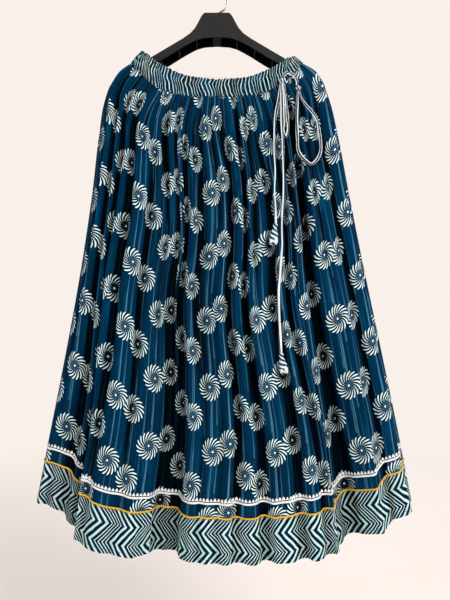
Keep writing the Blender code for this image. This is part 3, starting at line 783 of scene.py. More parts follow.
def creaseHeight(u, v, side):
    # height of the small folds over the main form, in metres
    random = np.random.default_rng(12 if side < 0 else 31)
    height = np.zeros_like(u)
    pitch = drape["pleatPitch"]
    wobble = 0.25 * np.sin(2 * math.pi * u / 0.083 + 1.1 * side) + 0.2 * np.sin(2 * math.pi * u / 0.031)
    fade = np.exp(-v / drape["pleatReach"])
    height += drape["pleatDepth"] * fade * np.cos(2 * math.pi * (u / pitch + wobble))
    for pitch, share in ((0.071, 1.0), (0.043, 0.8), (0.027, 0.55), (0.019, 0.35)):
        phase = random.uniform(0, 2 * math.pi)
        lean = random.uniform(-1.0, 1.0)
        swell = 0.6 + 0.4 * np.sin(2 * math.pi * v / random.uniform(0.25, 0.5) + random.uniform(0, 6))
        bend = 0.8 * np.sin(2 * math.pi * v / random.uniform(0.4, 0.8) + random.uniform(0, 6))
        wave = np.sin(2 * math.pi * u / pitch + phase + bend + 1.4 * lean * v)
        height += drape["rippleDepth"] * share * swell * wave * (1 - 0.4 * fade)
    for u0, v0, u1, v1, width, rise in drape["frontCreases" if side < 0 else "backCreases"]:
        t = np.clip((v - v0) / (v1 - v0), 0, 1)
        middle = u0 + (u1 - u0) * t + 0.006 * np.sin(math.pi * 2 * t)
        ends = np.clip(np.minimum(v - v0, v1 - v) / 0.05, -1, 1) * 0.5 + 0.5
        height += rise * np.exp(-(((u - middle) / width) ** 2)) * ends**2 * (3 - 2 * ends)
    near = np.clip((v - 0.72) / 0.16, 0, 1) ** 2
    ripple = np.sin(2 * math.pi * u / 0.052 + 2.5 * np.sin(2 * math.pi * u / 0.27))
    height += drape["hemRipple"] * near * ripple
    return height


def refinePanel(side):
    # the solid's grid, read as one smooth surface, with the small folds laid on it
    drops, across, points, depth = panelGrid(side)
    fineAcross = np.linspace(0, 1, drape["columns"] + 1)
    body = np.linspace(drops[0], skirt["bodyDrop"], drape["rows"] + 1)
    border = np.linspace(skirt["bodyDrop"], hemDrop, drape["borderRows"] + 1)[1:]
    fineDrops = np.concatenate([body, border])
    surface = smoothTable(drops, points, fineDrops)
    surface = smoothTable(across, surface.transpose(1, 0, 2), fineAcross).transpose(1, 0, 2)
    hollow = smoothTable(drops, depth, fineDrops)
    hollow = smoothTable(across, hollow.T, fineAcross).T
    u, v = np.meshgrid(fineAcross * skirt["panelWidth"], fineDrops)
    printed = printAcross(fineAcross, v, side)
    outward = panelNormals(surface, side)
    edge = np.minimum(fineAcross, 1 - fineAcross) * skirt["panelWidth"]
    calm = np.clip(edge / 0.03, 0, 1)[None, :]
    height = creaseHeight(u, v, side) * calm
    # over the hanger's arms the cloth stands out from them, never in
    overArms = np.clip(1.3 - v / 0.05, 0, 1)
    height = np.where(height < 0, height * (1 - overArms), height)
    surface = surface + outward * height[..., None]
    outward = panelNormals(surface, side)
    # painted shade: how deep each point lies below the cloth around it, kept as the amount the cloth's
    # colour is darkened
    fold = shadeIn(hollow, 0.055, 0.017, u) + shadeIn(hollow + height, 0.010, 0.0050, u)
    return {
        "drops": fineDrops, "u": printed, "points": surface, "outward": outward,
        "fold": np.clip(fold, 0, 1), "side": side,
    }


def printAcross(across, v, side):
    # the ridges of the gathers show more of the print than the cloth between them
    stretch = drape["ridgeShow"] * np.exp(-((v / drape["ridgeReach"]) ** 2))
    count = skirt["flutes"]
    turn = 2 * math.pi * count * across[None]
    shown = skirt["panelWidth"] * (across[None] - stretch * np.sin(turn) / (2 * math.pi * count))
    # the print runs on round the right-hand seam and along the back
    return shown if side < 0 else 2 * skirt["panelWidth"] - shown


def shadeIn(height, reach, full, u):
    # how far each point lies below the cloth around it
    step = u[0, 1] - u[0, 0]
    half = int(2.5 * reach / step)
    weights = np.exp(-0.5 * (np.arange(-half, half + 1) * step / reach) ** 2)
    weights /= weights.sum()
    padded = np.pad(height, ((0, 0), (half, half)), mode="edge")
    around = np.array([np.convolve(row, weights, mode="valid") for row in padded])
    return np.clip((around - height) / full, 0, 1)


def panelNormals(surface, side):
    alongRow = np.gradient(surface, axis=1)
    downColumn = np.gradient(surface, axis=0)
    outward = unit(side * np.cross(alongRow, downColumn))
    outward[:, [0, -1], 1] = 0
    return unit(outward)


def layOn(panel, drops, out):
    # rows of points at these drops, raised off the panel's face
    face = panel["points"] + out * panel["outward"]
    rows = np.asarray(drops, float)
    if rows.ndim == 1:
        rows = np.repeat(rows[:, None], face.shape[1], axis=1)
    knots = panel["drops"]
    i = np.clip(np.searchsorted(knots, rows, side="right") - 1, 0, len(knots) - 2)
    part = ((rows - knots[i]) / (knots[i + 1] - knots[i]))[..., None]
    column = np.arange(face.shape[1])
    return face[i, column] * (1 - part) + face[i + 1, column] * part


def foldOn(panel, drops):
    return np.array([
        [np.interp(drop, panel["drops"], panel["fold"][:, c]) for c in range(panel["fold"].shape[1])]
        for drop in drops
    ])


def makeObject(name, points, faces, finishes, slots=None, smoothAngle=60):
    mesh = bpy.data.meshes.new(name)
    mesh.from_pydata(np.asarray(points).tolist(), [], np.asarray(faces).tolist())
    for material in finishes:
        mesh.materials.append(material)
    if slots is not None:
        mesh.polygons.foreach_set("material_index", np.asarray(slots, np.int32))
    mesh.shade_smooth()
    mesh.set_sharp_from_angle(angle=math.radians(smoothAngle))
    return addObject(name, mesh)


def clothShell(name, outer, inner, u, v, fold, finishes, ring=False):
    # a thin closed shell: its printed face, its reverse, and the turned edges between
    rows, columns = outer.shape[:2]
    spans = columns if ring else columns - 1
    layer = rows * columns
    i, j = (grid.ravel() for grid in np.meshgrid(np.arange(rows - 1), np.arange(spans), indexing="ij"))

    def at(face, a, b):
        return face * layer + a * columns + b % columns

    def spot(a, b):
        return np.stack([u[a, b], v[a, b]], -1)

    quads = [np.stack([at(0, i, j), at(0, i + 1, j), at(0, i + 1, j + 1), at(0, i, j + 1)], -1)]
    quads.append(np.stack([at(1, i, j), at(1, i, j + 1), at(1, i + 1, j + 1), at(1, i + 1, j)], -1))
    spots = [np.stack([spot(i, j), spot(i + 1, j), spot(i + 1, j + 1), spot(i, j + 1)], 1)]
    spots.append(np.stack([spot(i, j), spot(i, j + 1), spot(i + 1, j + 1), spot(i + 1, j)], 1))
    slots = [np.zeros(len(i), int), np.ones(len(i), int)]
    j = np.arange(spans)
    last = rows - 1
    quads.append(np.stack([at(1, 0, j), at(0, 0, j), at(0, 0, j + 1), at(1, 0, j + 1)], -1))
    spots.append(np.stack([spot(0, j), spot(0, j), spot(0, j + 1), spot(0, j + 1)], 1))
    quads.append(np.stack([at(0, last, j), at(1, last, j), at(1, last, j + 1), at(0, last, j + 1)], -1))
    spots.append(np.stack([spot(last, j), spot(last, j), spot(last, j + 1), spot(last, j + 1)], 1))
    if not ring:
        i = np.arange(rows - 1)
        end = columns - 1
        quads.append(np.stack([at(1, i, 0), at(1, i + 1, 0), at(0, i + 1, 0), at(0, i, 0)], -1))
        spots.append(np.stack([spot(i, 0), spot(i + 1, 0), spot(i + 1, 0), spot(i, 0)], 1))
        quads.append(np.stack([at(0, i, end), at(0, i + 1, end), at(1, i + 1, end), at(1, i, end)], -1))
        spots.append(np.stack([spot(i, end), spot(i + 1, end), spot(i + 1, end), spot(i, end)], 1))
    faces = np.concatenate(quads)
    slots = np.concatenate(slots + [np.zeros(len(faces) - 2 * len(slots[0]), int)])
    points = np.concatenate([outer.reshape(-1, 3), inner.reshape(-1, 3)])
    piece = makeObject(name, points, faces, finishes, slots)
    layerMap = piece.data.uv_layers.new(name="cloth")
    layerMap.data.foreach_set("uv", np.concatenate(spots).astype(np.float32).ravel())
    # the painted fold shade, stored on every point of both faces
    shade = piece.data.attributes.new("fold", "FLOAT", "POINT")
    shade.data.foreach_set("value", np.tile(fold.ravel(), 2).astype(np.float32))
    return piece


def panelShell(name, panel, drops, out, thickness, finishes, startDrop=0.0):
    outer = layOn(panel, drops, out)
    inner = layOn(panel, drops, out - thickness)
    u = np.array([
        [np.interp(drop, panel["drops"], column) for column in panel["u"].T] for drop in drops
    ])
    v = np.repeat(np.asarray(drops)[:, None] - startDrop, u.shape[1], axis=1)
    fold = foldOn(panel, drops)
    if panel["side"] > 0:
        outer, inner, u, fold = outer[:, ::-1], inner[:, ::-1], u[:, ::-1], fold[:, ::-1]
    return clothShell(name, outer, inner, u, v, fold, finishes)


printed = flowerCloth("printed_cotton")
printedBack = flowerCloth("printed_cotton_reverse", faded=True)
chevron = chevronCloth("chevron_cotton", start=0.006, pieced=True)
chevronBack = chevronCloth("chevron_cotton_reverse", start=0.006, pieced=True, faded=True)

panels = {"front": refinePanel(-1), "back": refinePanel(1)}
pieces = {}
for place, panel in panels.items():
    bodyRows = panel["drops"][: drape["rows"] + 1]
    pieces["body_" + place] = panelShell(
        "skirt_body_" + place, panel, bodyRows, 0.0, skirt["cloth"], [printed, printedBack]
    )
    borderRows = panel["drops"][drape["rows"]:].copy()
    borderRows[0] += 2 * skirt["gap"]
    pieces["border_" + place] = panelShell(
        "skirt_border_" + place, panel, borderRows, 0.0, skirt["cloth"], [chevron, chevronBack],
        startDrop=skirt["bodyDrop"],
    )
    for part in ("body_", "border_"):
        piece = pieces[part + place]
        settle(piece, part + place)
    print("skirt panel made:", place)

# Geometry nodes


class Tree:
    # a Geometry Nodes tree with named inputs
    def __init__(self, name, inputs):
        self.group = bpy.data.node_groups.new(name, "GeometryNodeTree")
        face = self.group.interface
        face.new_socket("Geometry", in_out="INPUT", socket_type="NodeSocketGeometry")
        for label, kind, value in inputs:
            socket = face.new_socket(label, in_out="INPUT", socket_type="NodeSocket" + kind)
            if value is not None:
                socket.default_value = value
        face.new_socket("Geometry", in_out="OUTPUT", socket_type="NodeSocketGeometry")
        self.start = self.group.nodes.new("NodeGroupInput")
        self.end = self.group.nodes.new("NodeGroupOutput")

    def add(self, kind, settings=None, sockets=None):
        node = self.group.nodes.new(kind)
        for setting, choice in (settings or {}).items():
            setattr(node, setting, choice)
        for socket, value in (sockets or {}).items():
            if isinstance(value, bpy.types.NodeSocket):
                self.group.links.new(value, node.inputs[socket])
            else:
                node.inputs[socket].default_value = value
        return node

    def finish(self, geometry):
        self.group.links.new(geometry, self.end.inputs[0])

    def run(self, name, base, values):
        # base is a mesh chain; the result is a plain mesh of its own
        modifier = base.modifiers.new("tree", "NODES")
        modifier.node_group = self.group
        for item in self.group.interface.items_tree:
            if item.item_type == "SOCKET" and item.in_out == "INPUT" and item.name in values:
                modifier[item.identifier] = values[item.name]
        graph = bpy.context.evaluated_depsgraph_get()
        made = bpy.data.meshes.new_from_object(base.evaluated_get(graph))
        base.modifiers.remove(modifier)
        bpy.data.objects.remove(base)
        made.name = name
        return addObject(name, made)


def chain(name, points, up=None, closed=False):
    # a row of points joined by edges, with the cloth's own up direction where it is needed
    mesh = bpy.data.meshes.new(name)
    count = len(points)
    edges = [(k, (k + 1) % count) for k in range(count if closed else count - 1)]
    mesh.from_pydata(np.asarray(points).tolist(), edges, [])
    if up is not None:
        stored = mesh.attributes.new("up", "FLOAT_VECTOR", "POINT")
        stored.data.foreach_set("vector", np.asarray(up, np.float32).ravel())
    return addObject(name, mesh)


def buildCordTree():
    # a round cord along a chain, with its length and turn kept for the twist
    tree = Tree("cord_along_edge", [
        ("Radius", "Float", 0.0015), ("Step", "Float", 0.004), ("Sides", "Int", 10),
        ("Finish", "Material", None),
    ])
    source = tree.start.outputs
    curve = tree.add("GeometryNodeMeshToCurve", {}, {0: source["Geometry"]})
    lengths = {"Curve": curve.outputs[0], "Length": source["Step"]}
    evened = tree.add("GeometryNodeResampleCurve", {"mode": "LENGTH"}, lengths)
    length = tree.add("GeometryNodeSplineParameter")
    along = tree.add(
        "GeometryNodeStoreNamedAttribute", {"data_type": "FLOAT", "domain": "POINT"},
        {"Geometry": evened.outputs[0], "Name": "along", "Value": length.outputs["Length"]},
    )
    sizes = {"Resolution": source["Sides"], "Radius": source["Radius"]}
    ring = tree.add("GeometryNodeCurvePrimitiveCircle", {}, sizes)
    turn = tree.add("GeometryNodeSplineParameter")
    around = tree.add(
        "GeometryNodeStoreNamedAttribute", {"data_type": "FLOAT", "domain": "POINT"},
        {"Geometry": ring.outputs[0], "Name": "around", "Value": turn.outputs["Factor"]},
    )
    skin = tree.add(
        "GeometryNodeCurveToMesh", {},
        {"Curve": along.outputs[0], "Profile Curve": around.outputs[0], "Fill Caps": True},
    )
    smooth = tree.add("GeometryNodeSetShadeSmooth", {}, {0: skin.outputs[0]})
    real = tree.add("GeometryNodeRealizeInstances", {}, {0: smooth.outputs[0]})
    dressed = tree.add("GeometryNodeSetMaterial", {}, {0: real.outputs[0], "Material": source["Finish"]})
    tree.finish(dressed.outputs[0])
    return tree


def buildRowTree(name, stand):
    # small pieces set in a row along a chain: stitches lie along it, picots stand on it
    tree = Tree(name, [
        ("Pitch", "Float", 0.004), ("Size", "Vector", (0.001, 0.001, 0.001)), ("Seed", "Int", 5),
        ("Uneven", "Float", 0.15), ("Finish", "Material", None),
    ])
    source = tree.start.outputs
    curve = tree.add("GeometryNodeMeshToCurve", {}, {0: source["Geometry"]})
    lengths = {"Curve": curve.outputs[0], "Length": source["Pitch"]}
    evened = tree.add("GeometryNodeResampleCurve", {"mode": "LENGTH"}, lengths)
    tangent = tree.add("GeometryNodeInputTangent")
    if stand:
        shape = tree.add(
            "GeometryNodeMeshCone", {"fill_type": "NGON"},
            {"Vertices": 8, "Side Segments": 2, "Radius Top": 0.26, "Radius Bottom": 1.0, "Depth": 1.0},
        )
        up = tree.add("GeometryNodeInputNamedAttribute", {"data_type": "FLOAT_VECTOR"}, {"Name": "up"})
        first = tree.add("FunctionNodeAlignRotationToVector", {"axis": "Z"}, {"Vector": up.outputs[0]})
        turn = tree.add(
            "FunctionNodeAlignRotationToVector", {"axis": "X", "pivot_axis": "Z"},
            {"Rotation": first.outputs[0], "Vector": tangent.outputs[0]},
        )
    else:
        shape = tree.add("GeometryNodeMeshIcoSphere", {}, {"Radius": 1.0, "Subdivisions": 2})
        turn = tree.add("FunctionNodeAlignRotationToVector", {"axis": "X"}, {"Vector": tangent.outputs[0]})
    size = tree.add(
        "FunctionNodeRandomValue", {"data_type": "FLOAT"},
        {2: 1.0, 3: 1.0, "Seed": source["Seed"]},
    )
    least = tree.add("ShaderNodeMath", {"operation": "SUBTRACT"}, {0: 1.0, 1: source["Uneven"]})
    most = tree.add("ShaderNodeMath", {"operation": "ADD"}, {0: 1.0, 1: source["Uneven"]})
    tree.group.links.new(least.outputs[0], size.inputs[2])
    tree.group.links.new(most.outputs[0], size.inputs[3])
    scale = tree.add(
        "ShaderNodeVectorMath", {"operation": "SCALE"},
        {0: source["Size"], "Scale": size.outputs[1]},
    )
    placed = tree.add(
        "GeometryNodeInstanceOnPoints", {},
        {
            "Points": evened.outputs[0], "Instance": shape.outputs[0],
            "Rotation": turn.outputs[0], "Scale": scale.outputs[0],
        },
    )
    real = tree.add("GeometryNodeRealizeInstances", {}, {0: placed.outputs[0]})
    smooth = tree.add("GeometryNodeSetShadeSmooth", {}, {0: real.outputs[0]})
    dressed = tree.add("GeometryNodeSetMaterial", {}, {0: smooth.outputs[0], "Material": source["Finish"]})
    tree.finish(dressed.outputs[0])
    return tree


cordTree = buildCordTree()
stitchTree = buildRowTree("stitches_along_edge", stand=False)
picotTree = buildRowTree("picots_along_edge", stand=True)

# Trims

trims = {
    "piping": 0.0030,
    "laceBottom": 0.776,
    "laceTape": 0.0034,
    "picotPitch": 0.0070,
    "picotHeight": 0.0052,
    "laceWall": 0.0010,
    "stitchPitch": 0.0042,
    "stitch": (0.0014, 0.00035, 0.00035),
    "picotSink": 0.0006,
    # where the rows of stitches run: below the border's seam, above the hem and above the tape's foot
    "goldStitch": 0.0042,
    "hemStitch": 0.0080,
    "laceStitch": 0.0018,
    "stitchLift": 0.0001,
}

pipingFinish = trimFinish(
    "mustard_piping", fromPaint(255, 206, 62), fromPaint(226, 156, 22), 0.0046, 0.5
)
laceFinish = knittedFinish("white_lace", fromPaint(255, 253, 249), fromPaint(226, 226, 222))
seamFinish = threadFinish("seam_cotton", fromPaint(10, 58, 94))
stitchFinish = threadFinish("indigo_thread", fromPaint(60, 110, 146))
goldThread = threadFinish("gold_thread", fromPaint(206, 150, 40))


def joinMeshes(name, parts):
    # one piece from several, which share their materials by name
    points, faces, slots, materials = [], [], [], []
    for part in parts:
        start = len(points)
        points.extend(tuple(vertex.co) for vertex in part.data.vertices)
        known = []
        for material in part.data.materials:
            if material not in materials:
                materials.append(material)
            known.append(materials.index(material))
        for polygon in part.data.polygons:
            faces.append([start + k for k in polygon.vertices])
            slots.append(known[polygon.material_index] if known else 0)
        bpy.data.objects.remove(part)
    mesh = bpy.data.meshes.new(name)
    mesh.from_pydata(points, [], faces)
    for material in materials:
        mesh.materials.append(material)
    mesh.polygons.foreach_set("material_index", slots)
    mesh.shade_smooth()
    mesh.set_sharp_from_angle(angle=math.radians(50))
    return addObject(name, mesh)


def plainStrip(name, panel, low, high, out, thickness, finish):
    rows = np.linspace(low, high, 4)
    outer = layOn(panel, rows, out)
    inner = layOn(panel, rows, out - thickness)
    outer[1:3] += 0.0002 * panel["outward"][0][None]
    u = np.repeat(panel["u"][:1], 4, axis=0)
    v = np.repeat(rows[:, None], u.shape[1], axis=1)
    fold = foldOn(panel, rows)
    if panel["side"] > 0:
        outer, inner = outer[:, ::-1], inner[:, ::-1]
    return clothShell(name, outer, inner, u, v, fold, [finish, finish])


for place, panel in panels.items():
    radius = trims["piping"] / 2
    cord = layOn(panel, [skirt["bodyDrop"]], skirt["gap"] + radius)[0]
    piping = cordTree.run("piping_cord_" + place, chain("edge", cord), {
        "Radius": radius, "Step": 0.003, "Sides": 10, "Finish": pipingFinish,
    })
    out = 2 * skirt["gap"] + trims["laceWall"]
    bottom = trims["laceBottom"]
    tape = plainStrip(
        "tape", panel, bottom - trims["laceTape"], bottom, out, trims["laceWall"], laceFinish
    )
    middle = out - trims["laceWall"] / 2
    standing = bottom - trims["laceTape"] - trims["picotHeight"] / 2 + trims["picotSink"]
    foot = layOn(panel, [standing], middle)[0]
    above = layOn(panel, [bottom - 0.02], middle)[0]
    picots = picotTree.run("picots", chain("edge", foot, up=unit(above - foot)), {
        "Pitch": trims["picotPitch"],
        "Size": (trims["picotPitch"] * 0.46, trims["laceWall"] * 0.6, trims["picotHeight"]),
        "Uneven": 0.14, "Seed": 7, "Finish": laceFinish,
    })
    lace = joinMeshes("lace_trim_" + place, [tape, picots])
    rowsOfStitches = []
    for drop, finish, height in (
        (skirt["bodyDrop"] + trims["goldStitch"], goldThread, trims["stitchLift"]),
        (hemDrop - trims["hemStitch"], stitchFinish, trims["stitchLift"]),
        (bottom - trims["laceStitch"], laceFinish, out),
    ):
        line = layOn(panel, [drop], height)[0]
        rowsOfStitches.append(stitchTree.run("stitches", chain("edge", line), {
            "Pitch": trims["stitchPitch"], "Size": trims["stitch"],
            "Uneven": 0.12, "Seed": 3, "Finish": finish,
        }))
    sewing = joinMeshes("stitching_" + place, rowsOfStitches)
    pieces["piping_" + place] = settle(piping, "piping_" + place)
    pieces["lace_" + place] = settle(lace, "lace_" + place)
    pieces["stitching_" + place] = settle(sewing)

# a turned seam down each side closes the two panels on each other
for name, column in (("left", 0), ("right", -1)):
    both = (panels["front"]["points"][:, column] + panels["back"]["points"][:, column]) / 2
    seam = cordTree.run("side_seam_" + name, chain("edge", both[:: 2]), {
        "Radius": 0.0010, "Step": 0.006, "Sides": 8, "Finish": seamFinish,
    })
    pieces["side_seam_" + name] = settle(seam)
print("trims made")

# Waistband

band = {
    "height": 0.039,
    "tilt": 0.0045,
    "wall": 0.0045,
    "bulge": 0.0012,
    "lean": 0.55,
    "columns": 704,
    "rows": 14,
    "rucheDepth": 0.0016,
    "ruches": 142,
    "gathered": 1.85,  # flat cloth for each metre of band
    "frontDip": 0.0065,
    "cornerCut": (0.0135, 0.0160),  # how much lower the soft left and right ends stand
    "cornerStart": 0.84,
    "slopeLift": 0.0065,  # how much higher the edge runs half way out
    "slopeMiddle": 0.62,
}


def bandEdges(count):
    halfWidth, sideZ, centreZ, front = (skirt["sections"][0][k] for k in (1, 3, 4, 5))
    power, sag = skirt["sections"][0][7:9]
    x, y = halfOval(halfWidth, front, power, np.linspace(0, 1, count // 2 + 1))
    lift = np.abs(x / halfWidth) ** sag
    low = np.stack([x, -y, centreZ + (sideZ - centreZ) * lift], -1)
    lean = unit(np.stack([-band["lean"] * x / halfWidth * lift, 0 * x, 0 * x + 1], -1))
    high = low + (band["height"] - band["tilt"] * x / halfWidth)[:, None] * lean
    mirror = np.array([1, -1, 1])
    low = np.concatenate([low, (low * mirror)[-2:0:-1]])
    high = np.concatenate([high, (high * mirror)[-2:0:-1]])
    return low, high


def makeWaistband():
    low, high = bandEdges(band["columns"])
    low = low + np.array([0, 0, 2 * skirt["gap"]])
    # the elastic rounds the upper edge off at both ends, where it slumps over the arms
    out = low[:, 0] / np.abs(low[:, 0]).max()
    corner = np.clip((np.abs(out) - band["cornerStart"]) / (1 - band["cornerStart"]), 0, 1)
    cut = np.where(out < 0, *band["cornerCut"]) * corner**2 * (3 - 2 * corner)
    slope = band["slopeLift"] * np.exp(-((np.abs(out) - band["slopeMiddle"]) / 0.2) ** 2)
    high = high + np.array([0, 0, 1.0]) * (slope - cut)[:, None]
    turn = np.roll(low, -1, axis=0) - np.roll(low, 1, axis=0)
    normal = unit(np.stack([turn[:, 1], -turn[:, 0], 0 * turn[:, 0]], -1))
    steps = np.linalg.norm(np.roll(low, -1, axis=0) - low, axis=1)
    along = np.concatenate([[0], np.cumsum(steps)])
    total = along[-1]
    s = along[:-1] / total
    outer, inner, u, v, fold = [], [], [], [], []
    for share in np.linspace(1, 0, band["rows"] + 1):
        wander = 0.35 * np.sin(2 * math.pi * 9 * s + 3.1 * share)
        wander = wander + 0.3 * np.sin(2 * math.pi * 23 * s + 5 * share)
        ruche = np.cos(2 * math.pi * (band["ruches"] * s + 0.6 * wander))
        ruche += 0.35 * np.cos(2 * math.pi * (band["ruches"] * 2 * s + wander * 1.7) + 1.0)
        swell = 1 + 0.4 * np.sin(2 * math.pi * 31 * s + 2.0)
        bulge = band["bulge"] * math.sin(math.pi * share)
        ridge = band["rucheDepth"] / 2 * ruche * swell
        middle = low + share * (high - low)
        # the front's upper edge dips to a shallow point in the middle
        dip = band["frontDip"] * np.exp(-np.abs(low[:, 0]) / 0.06) * (low[:, 1] < 0) * share**2
        middle = middle - np.array([0, 0, 1.0]) * dip[:, None]
        if share > 0.9:
            frill = 0.0008 * np.sin(2 * math.pi * band["ruches"] * 0.5 * s + 1.0) * (share - 0.9) * 10
            middle = middle + np.array([0, 0, 1.0]) * frill[:, None]
        outer.append(middle + normal * (band["wall"] / 2 + bulge + ridge)[:, None])
        inner.append(middle - normal * (band["wall"] / 2 - 0.4 * ridge)[:, None])
        u.append(along * band["gathered"])
        v.append(np.full(len(along), (1 - share) * band["height"]))
        # painted shade in the hollows of the ruching
        fold.append(np.clip(-ruche * 0.35 + 0.05, 0, 0.6))
    ruffled = clothShell(
        "waistband_ruched", np.array(outer), np.array(inner), np.array(u), np.array(v), np.array(fold),
        [bandFinish, bandBack], ring=True,
    )
    return ruffled, low, high, normal, total


bandFinish = chevronCloth("waistband_cotton", start=0.020, crumple=0.014, slimmer=0.54)
bandBack = chevronCloth("waistband_cotton_reverse", start=0.020, faded=True, crumple=0.014, slimmer=0.54)
waistband, bandLow, bandHigh, bandNormal, bandRound = makeWaistband()
settle(waistband, "waistband")
bandSewing = []
for share in (0.08, 0.90):
    ring = bandLow + share * (bandHigh - bandLow) + bandNormal * (band["wall"] / 2 + 0.0010)
    bandSewing.append(stitchTree.run("stitches", chain("edge", ring, closed=True), {
        "Pitch": 0.0040, "Size": trims["stitch"], "Uneven": 0.15, "Seed": 11, "Finish": stitchFinish,
    }))
bandStitches = settle(joinMeshes("waistband_stitching", bandSewing))
print("waistband made, metres round:", round(float(bandRound), 3))

# Drawstring

tie = {
    "width": 0.0055,
    "thickness": 0.0026,
    "sides": 16,
    "step": 0.0035,
    "knot": (0.1265, -0.0421, -0.2180),
    "knotSize": (0.0130, 0.0060),
    "pinch": (0.1570, -0.0440, -0.2330),
    "pinchSize": (0.0105, 0.0050),
    "gatherReach": 0.030,  # how far from a knot the strands draw together
    "gatherPull": 0.60,
    "gatherSlim": 0.50,
    "tie_bridge": [
        (0.1285, -0.0421, -0.2108), (0.1295, -0.0424, -0.2075), (0.1340, -0.0427, -0.2035),
        (0.1420, -0.0430, -0.2045), (0.1500, -0.0435, -0.2110), (0.1540, -0.0440, -0.2190),
        (0.1545, -0.0440, -0.2279),
    ],
    "tail_short": [
        (0.1180, -0.0425, -0.2235), (0.1170, -0.0450, -0.2592), (0.1114, -0.0485, -0.2988),
        (0.1100, -0.0510, -0.3337), (0.1108, -0.0535, -0.3659), (0.1112, -0.0555, -0.3929),
        (0.1100, -0.0575, -0.4314), (0.1114, -0.0590, -0.4658), (0.1116, -0.0600, -0.4945),
    ],
    "tail_long": [
        (0.1222, -0.0472, -0.2228), (0.1232, -0.0515, -0.2655), (0.1235, -0.0540, -0.3010),
        (0.1253, -0.0555, -0.3282), (0.1263, -0.0570, -0.3592), (0.1264, -0.0590, -0.4030),
        (0.1257, -0.0610, -0.4433), (0.1236, -0.0640, -0.4742), (0.1227, -0.0664, -0.5085),
        (0.1230, -0.0682, -0.5349), (0.1206, -0.0700, -0.5613), (0.1184, -0.0705, -0.5932),
        (0.1160, -0.0710, -0.6213), (0.1163, -0.0710, -0.6494), (0.1185, -0.0700, -0.6968),
        (0.1208, -0.0690, -0.7390),
    ],
    "loop_left": [
        (0.1332, -0.0425, -0.2235), (0.1340, -0.0455, -0.2623), (0.1352, -0.0478, -0.2920),
        (0.1362, -0.0495, -0.3150), (0.1325, -0.0500, -0.3290), (0.1275, -0.0490, -0.3190),
        (0.1276, -0.0468, -0.2954), (0.1275, -0.0445, -0.2641), (0.1262, -0.0425, -0.2235),
    ],
    "loop_right": [
        (0.1603, -0.0440, -0.2390), (0.1680, -0.0430, -0.2560), (0.1810, -0.0430, -0.2755),
        (0.1917, -0.0432, -0.2921), (0.1957, -0.0434, -0.3095), (0.1994, -0.0440, -0.3346),
        (0.1995, -0.0450, -0.3540), (0.1903, -0.0490, -0.3733), (0.1800, -0.0530, -0.3810),
        (0.1692, -0.0534, -0.3740), (0.1574, -0.0520, -0.3599), (0.1541, -0.0508, -0.3302),
        (0.1533, -0.0488, -0.2991), (0.1534, -0.0476, -0.2684), (0.1537, -0.0440, -0.2379),
    ],
    # how the flat tie turns about itself from one end to the other, in quarter turns
    "turns": {"tie_bridge": (0.0, 0.3), "tail_short": (0.1, 1.2), "tail_long": (0.15, 1.9),
              "loop_left": (0.1, 0.5), "loop_right": (0.0, 0.3)},
    "tassels": {
        "tassel_short": [(0.1116, -0.0600, -0.49475), (0.1066, -0.0605, -0.5370)],
        "tassel_long": [(0.1208, -0.0690, -0.73925), (0.1270, -0.0695, -0.7785)],
    },
    "tasselShares": [0.00, 0.04, 0.09, 0.15, 0.20, 0.26, 0.36, 0.48, 0.60, 0.72, 0.84, 0.93, 1.00],
    "tasselRadii": [
        0.0022, 0.0040, 0.0045, 0.0040, 0.0032, 0.0040, 0.0057,
        0.0070, 0.0079, 0.0081, 0.0074, 0.0058, 0.0030,
    ],
    "tasselFlat": 0.70,
    # of each petal: offset across, start as a share of the tassel, length, half width, lean
    "petals": [(0.0035, 0.62, 0.015, 0.0034, 0.0022), (-0.0040, 0.74, 0.009, 0.0026, -0.0016)],
}

tieCloth = tieFinish("blue_white_tie")
tasselCloth = tasselFinish("striped_tassel_cloth")
petalCloth = petalFinish("white_petal_cloth")


def smoothRoute(route, step):
    route = np.array(route, float)
    knots = np.concatenate([[0], np.cumsum(np.linalg.norm(np.diff(route, axis=0), axis=1))])
    line = smoothTable(knots, route, np.linspace(0, knots[-1], 400))
    length = np.concatenate([[0], np.cumsum(np.linalg.norm(np.diff(line, axis=0), axis=1))])
    at = np.linspace(0, length[-1], max(3, round(length[-1] / step) + 1))
    return np.stack([np.interp(at, length, line[:, k]) for k in range(3)], -1), length[-1]


def loopedSkin(name, rings, finish, spans):
    # a skin through rings of points, with its own map round and along
    rings = np.asarray(rings)
    rows, sides = rings.shape[:2]
    i, j = (grid.ravel() for grid in np.meshgrid(np.arange(rows - 1), np.arange(sides), indexing="ij"))
    k = (j + 1) % sides
    faces = np.stack([i * sides + j, i * sides + k, (i + 1) * sides + k, (i + 1) * sides + j], -1).tolist()
    spots = np.stack([
        np.stack([j / sides, spans[i]], -1), np.stack([(j + 1) / sides, spans[i]], -1),
        np.stack([(j + 1) / sides, spans[i + 1]], -1), np.stack([j / sides, spans[i + 1]], -1),
    ], 1).reshape(-1, 2).tolist()
    faces.append(list(range(sides))[::-1])
    faces.append([(rows - 1) * sides + n for n in range(sides)])
    spots += [(n / sides, spans[0]) for n in range(sides)][::-1]
    spots += [(n / sides, spans[-1]) for n in range(sides)]
    mesh = bpy.data.meshes.new(name)
    mesh.from_pydata(rings.reshape(-1, 3).tolist(), [], faces)
    mesh.materials.append(finish)
    layerMap = mesh.uv_layers.new(name="tie")
    layerMap.data.foreach_set("uv", np.array(spots, np.float32).ravel())
    mesh.shade_smooth()
    mesh.set_sharp_from_angle(angle=math.radians(55))
    return addObject(name, mesh)


def faceOut(rings, row):
    # the faces of a skin look outward, whichever way its rings run
    ring = rings[row]
    first = np.cross(ring[1] - ring[0], rings[row + 1][0] - ring[0])
    return rings[:, ::-1] if np.dot(first, ring[0] - ring.mean(axis=0)) < 0 else rings


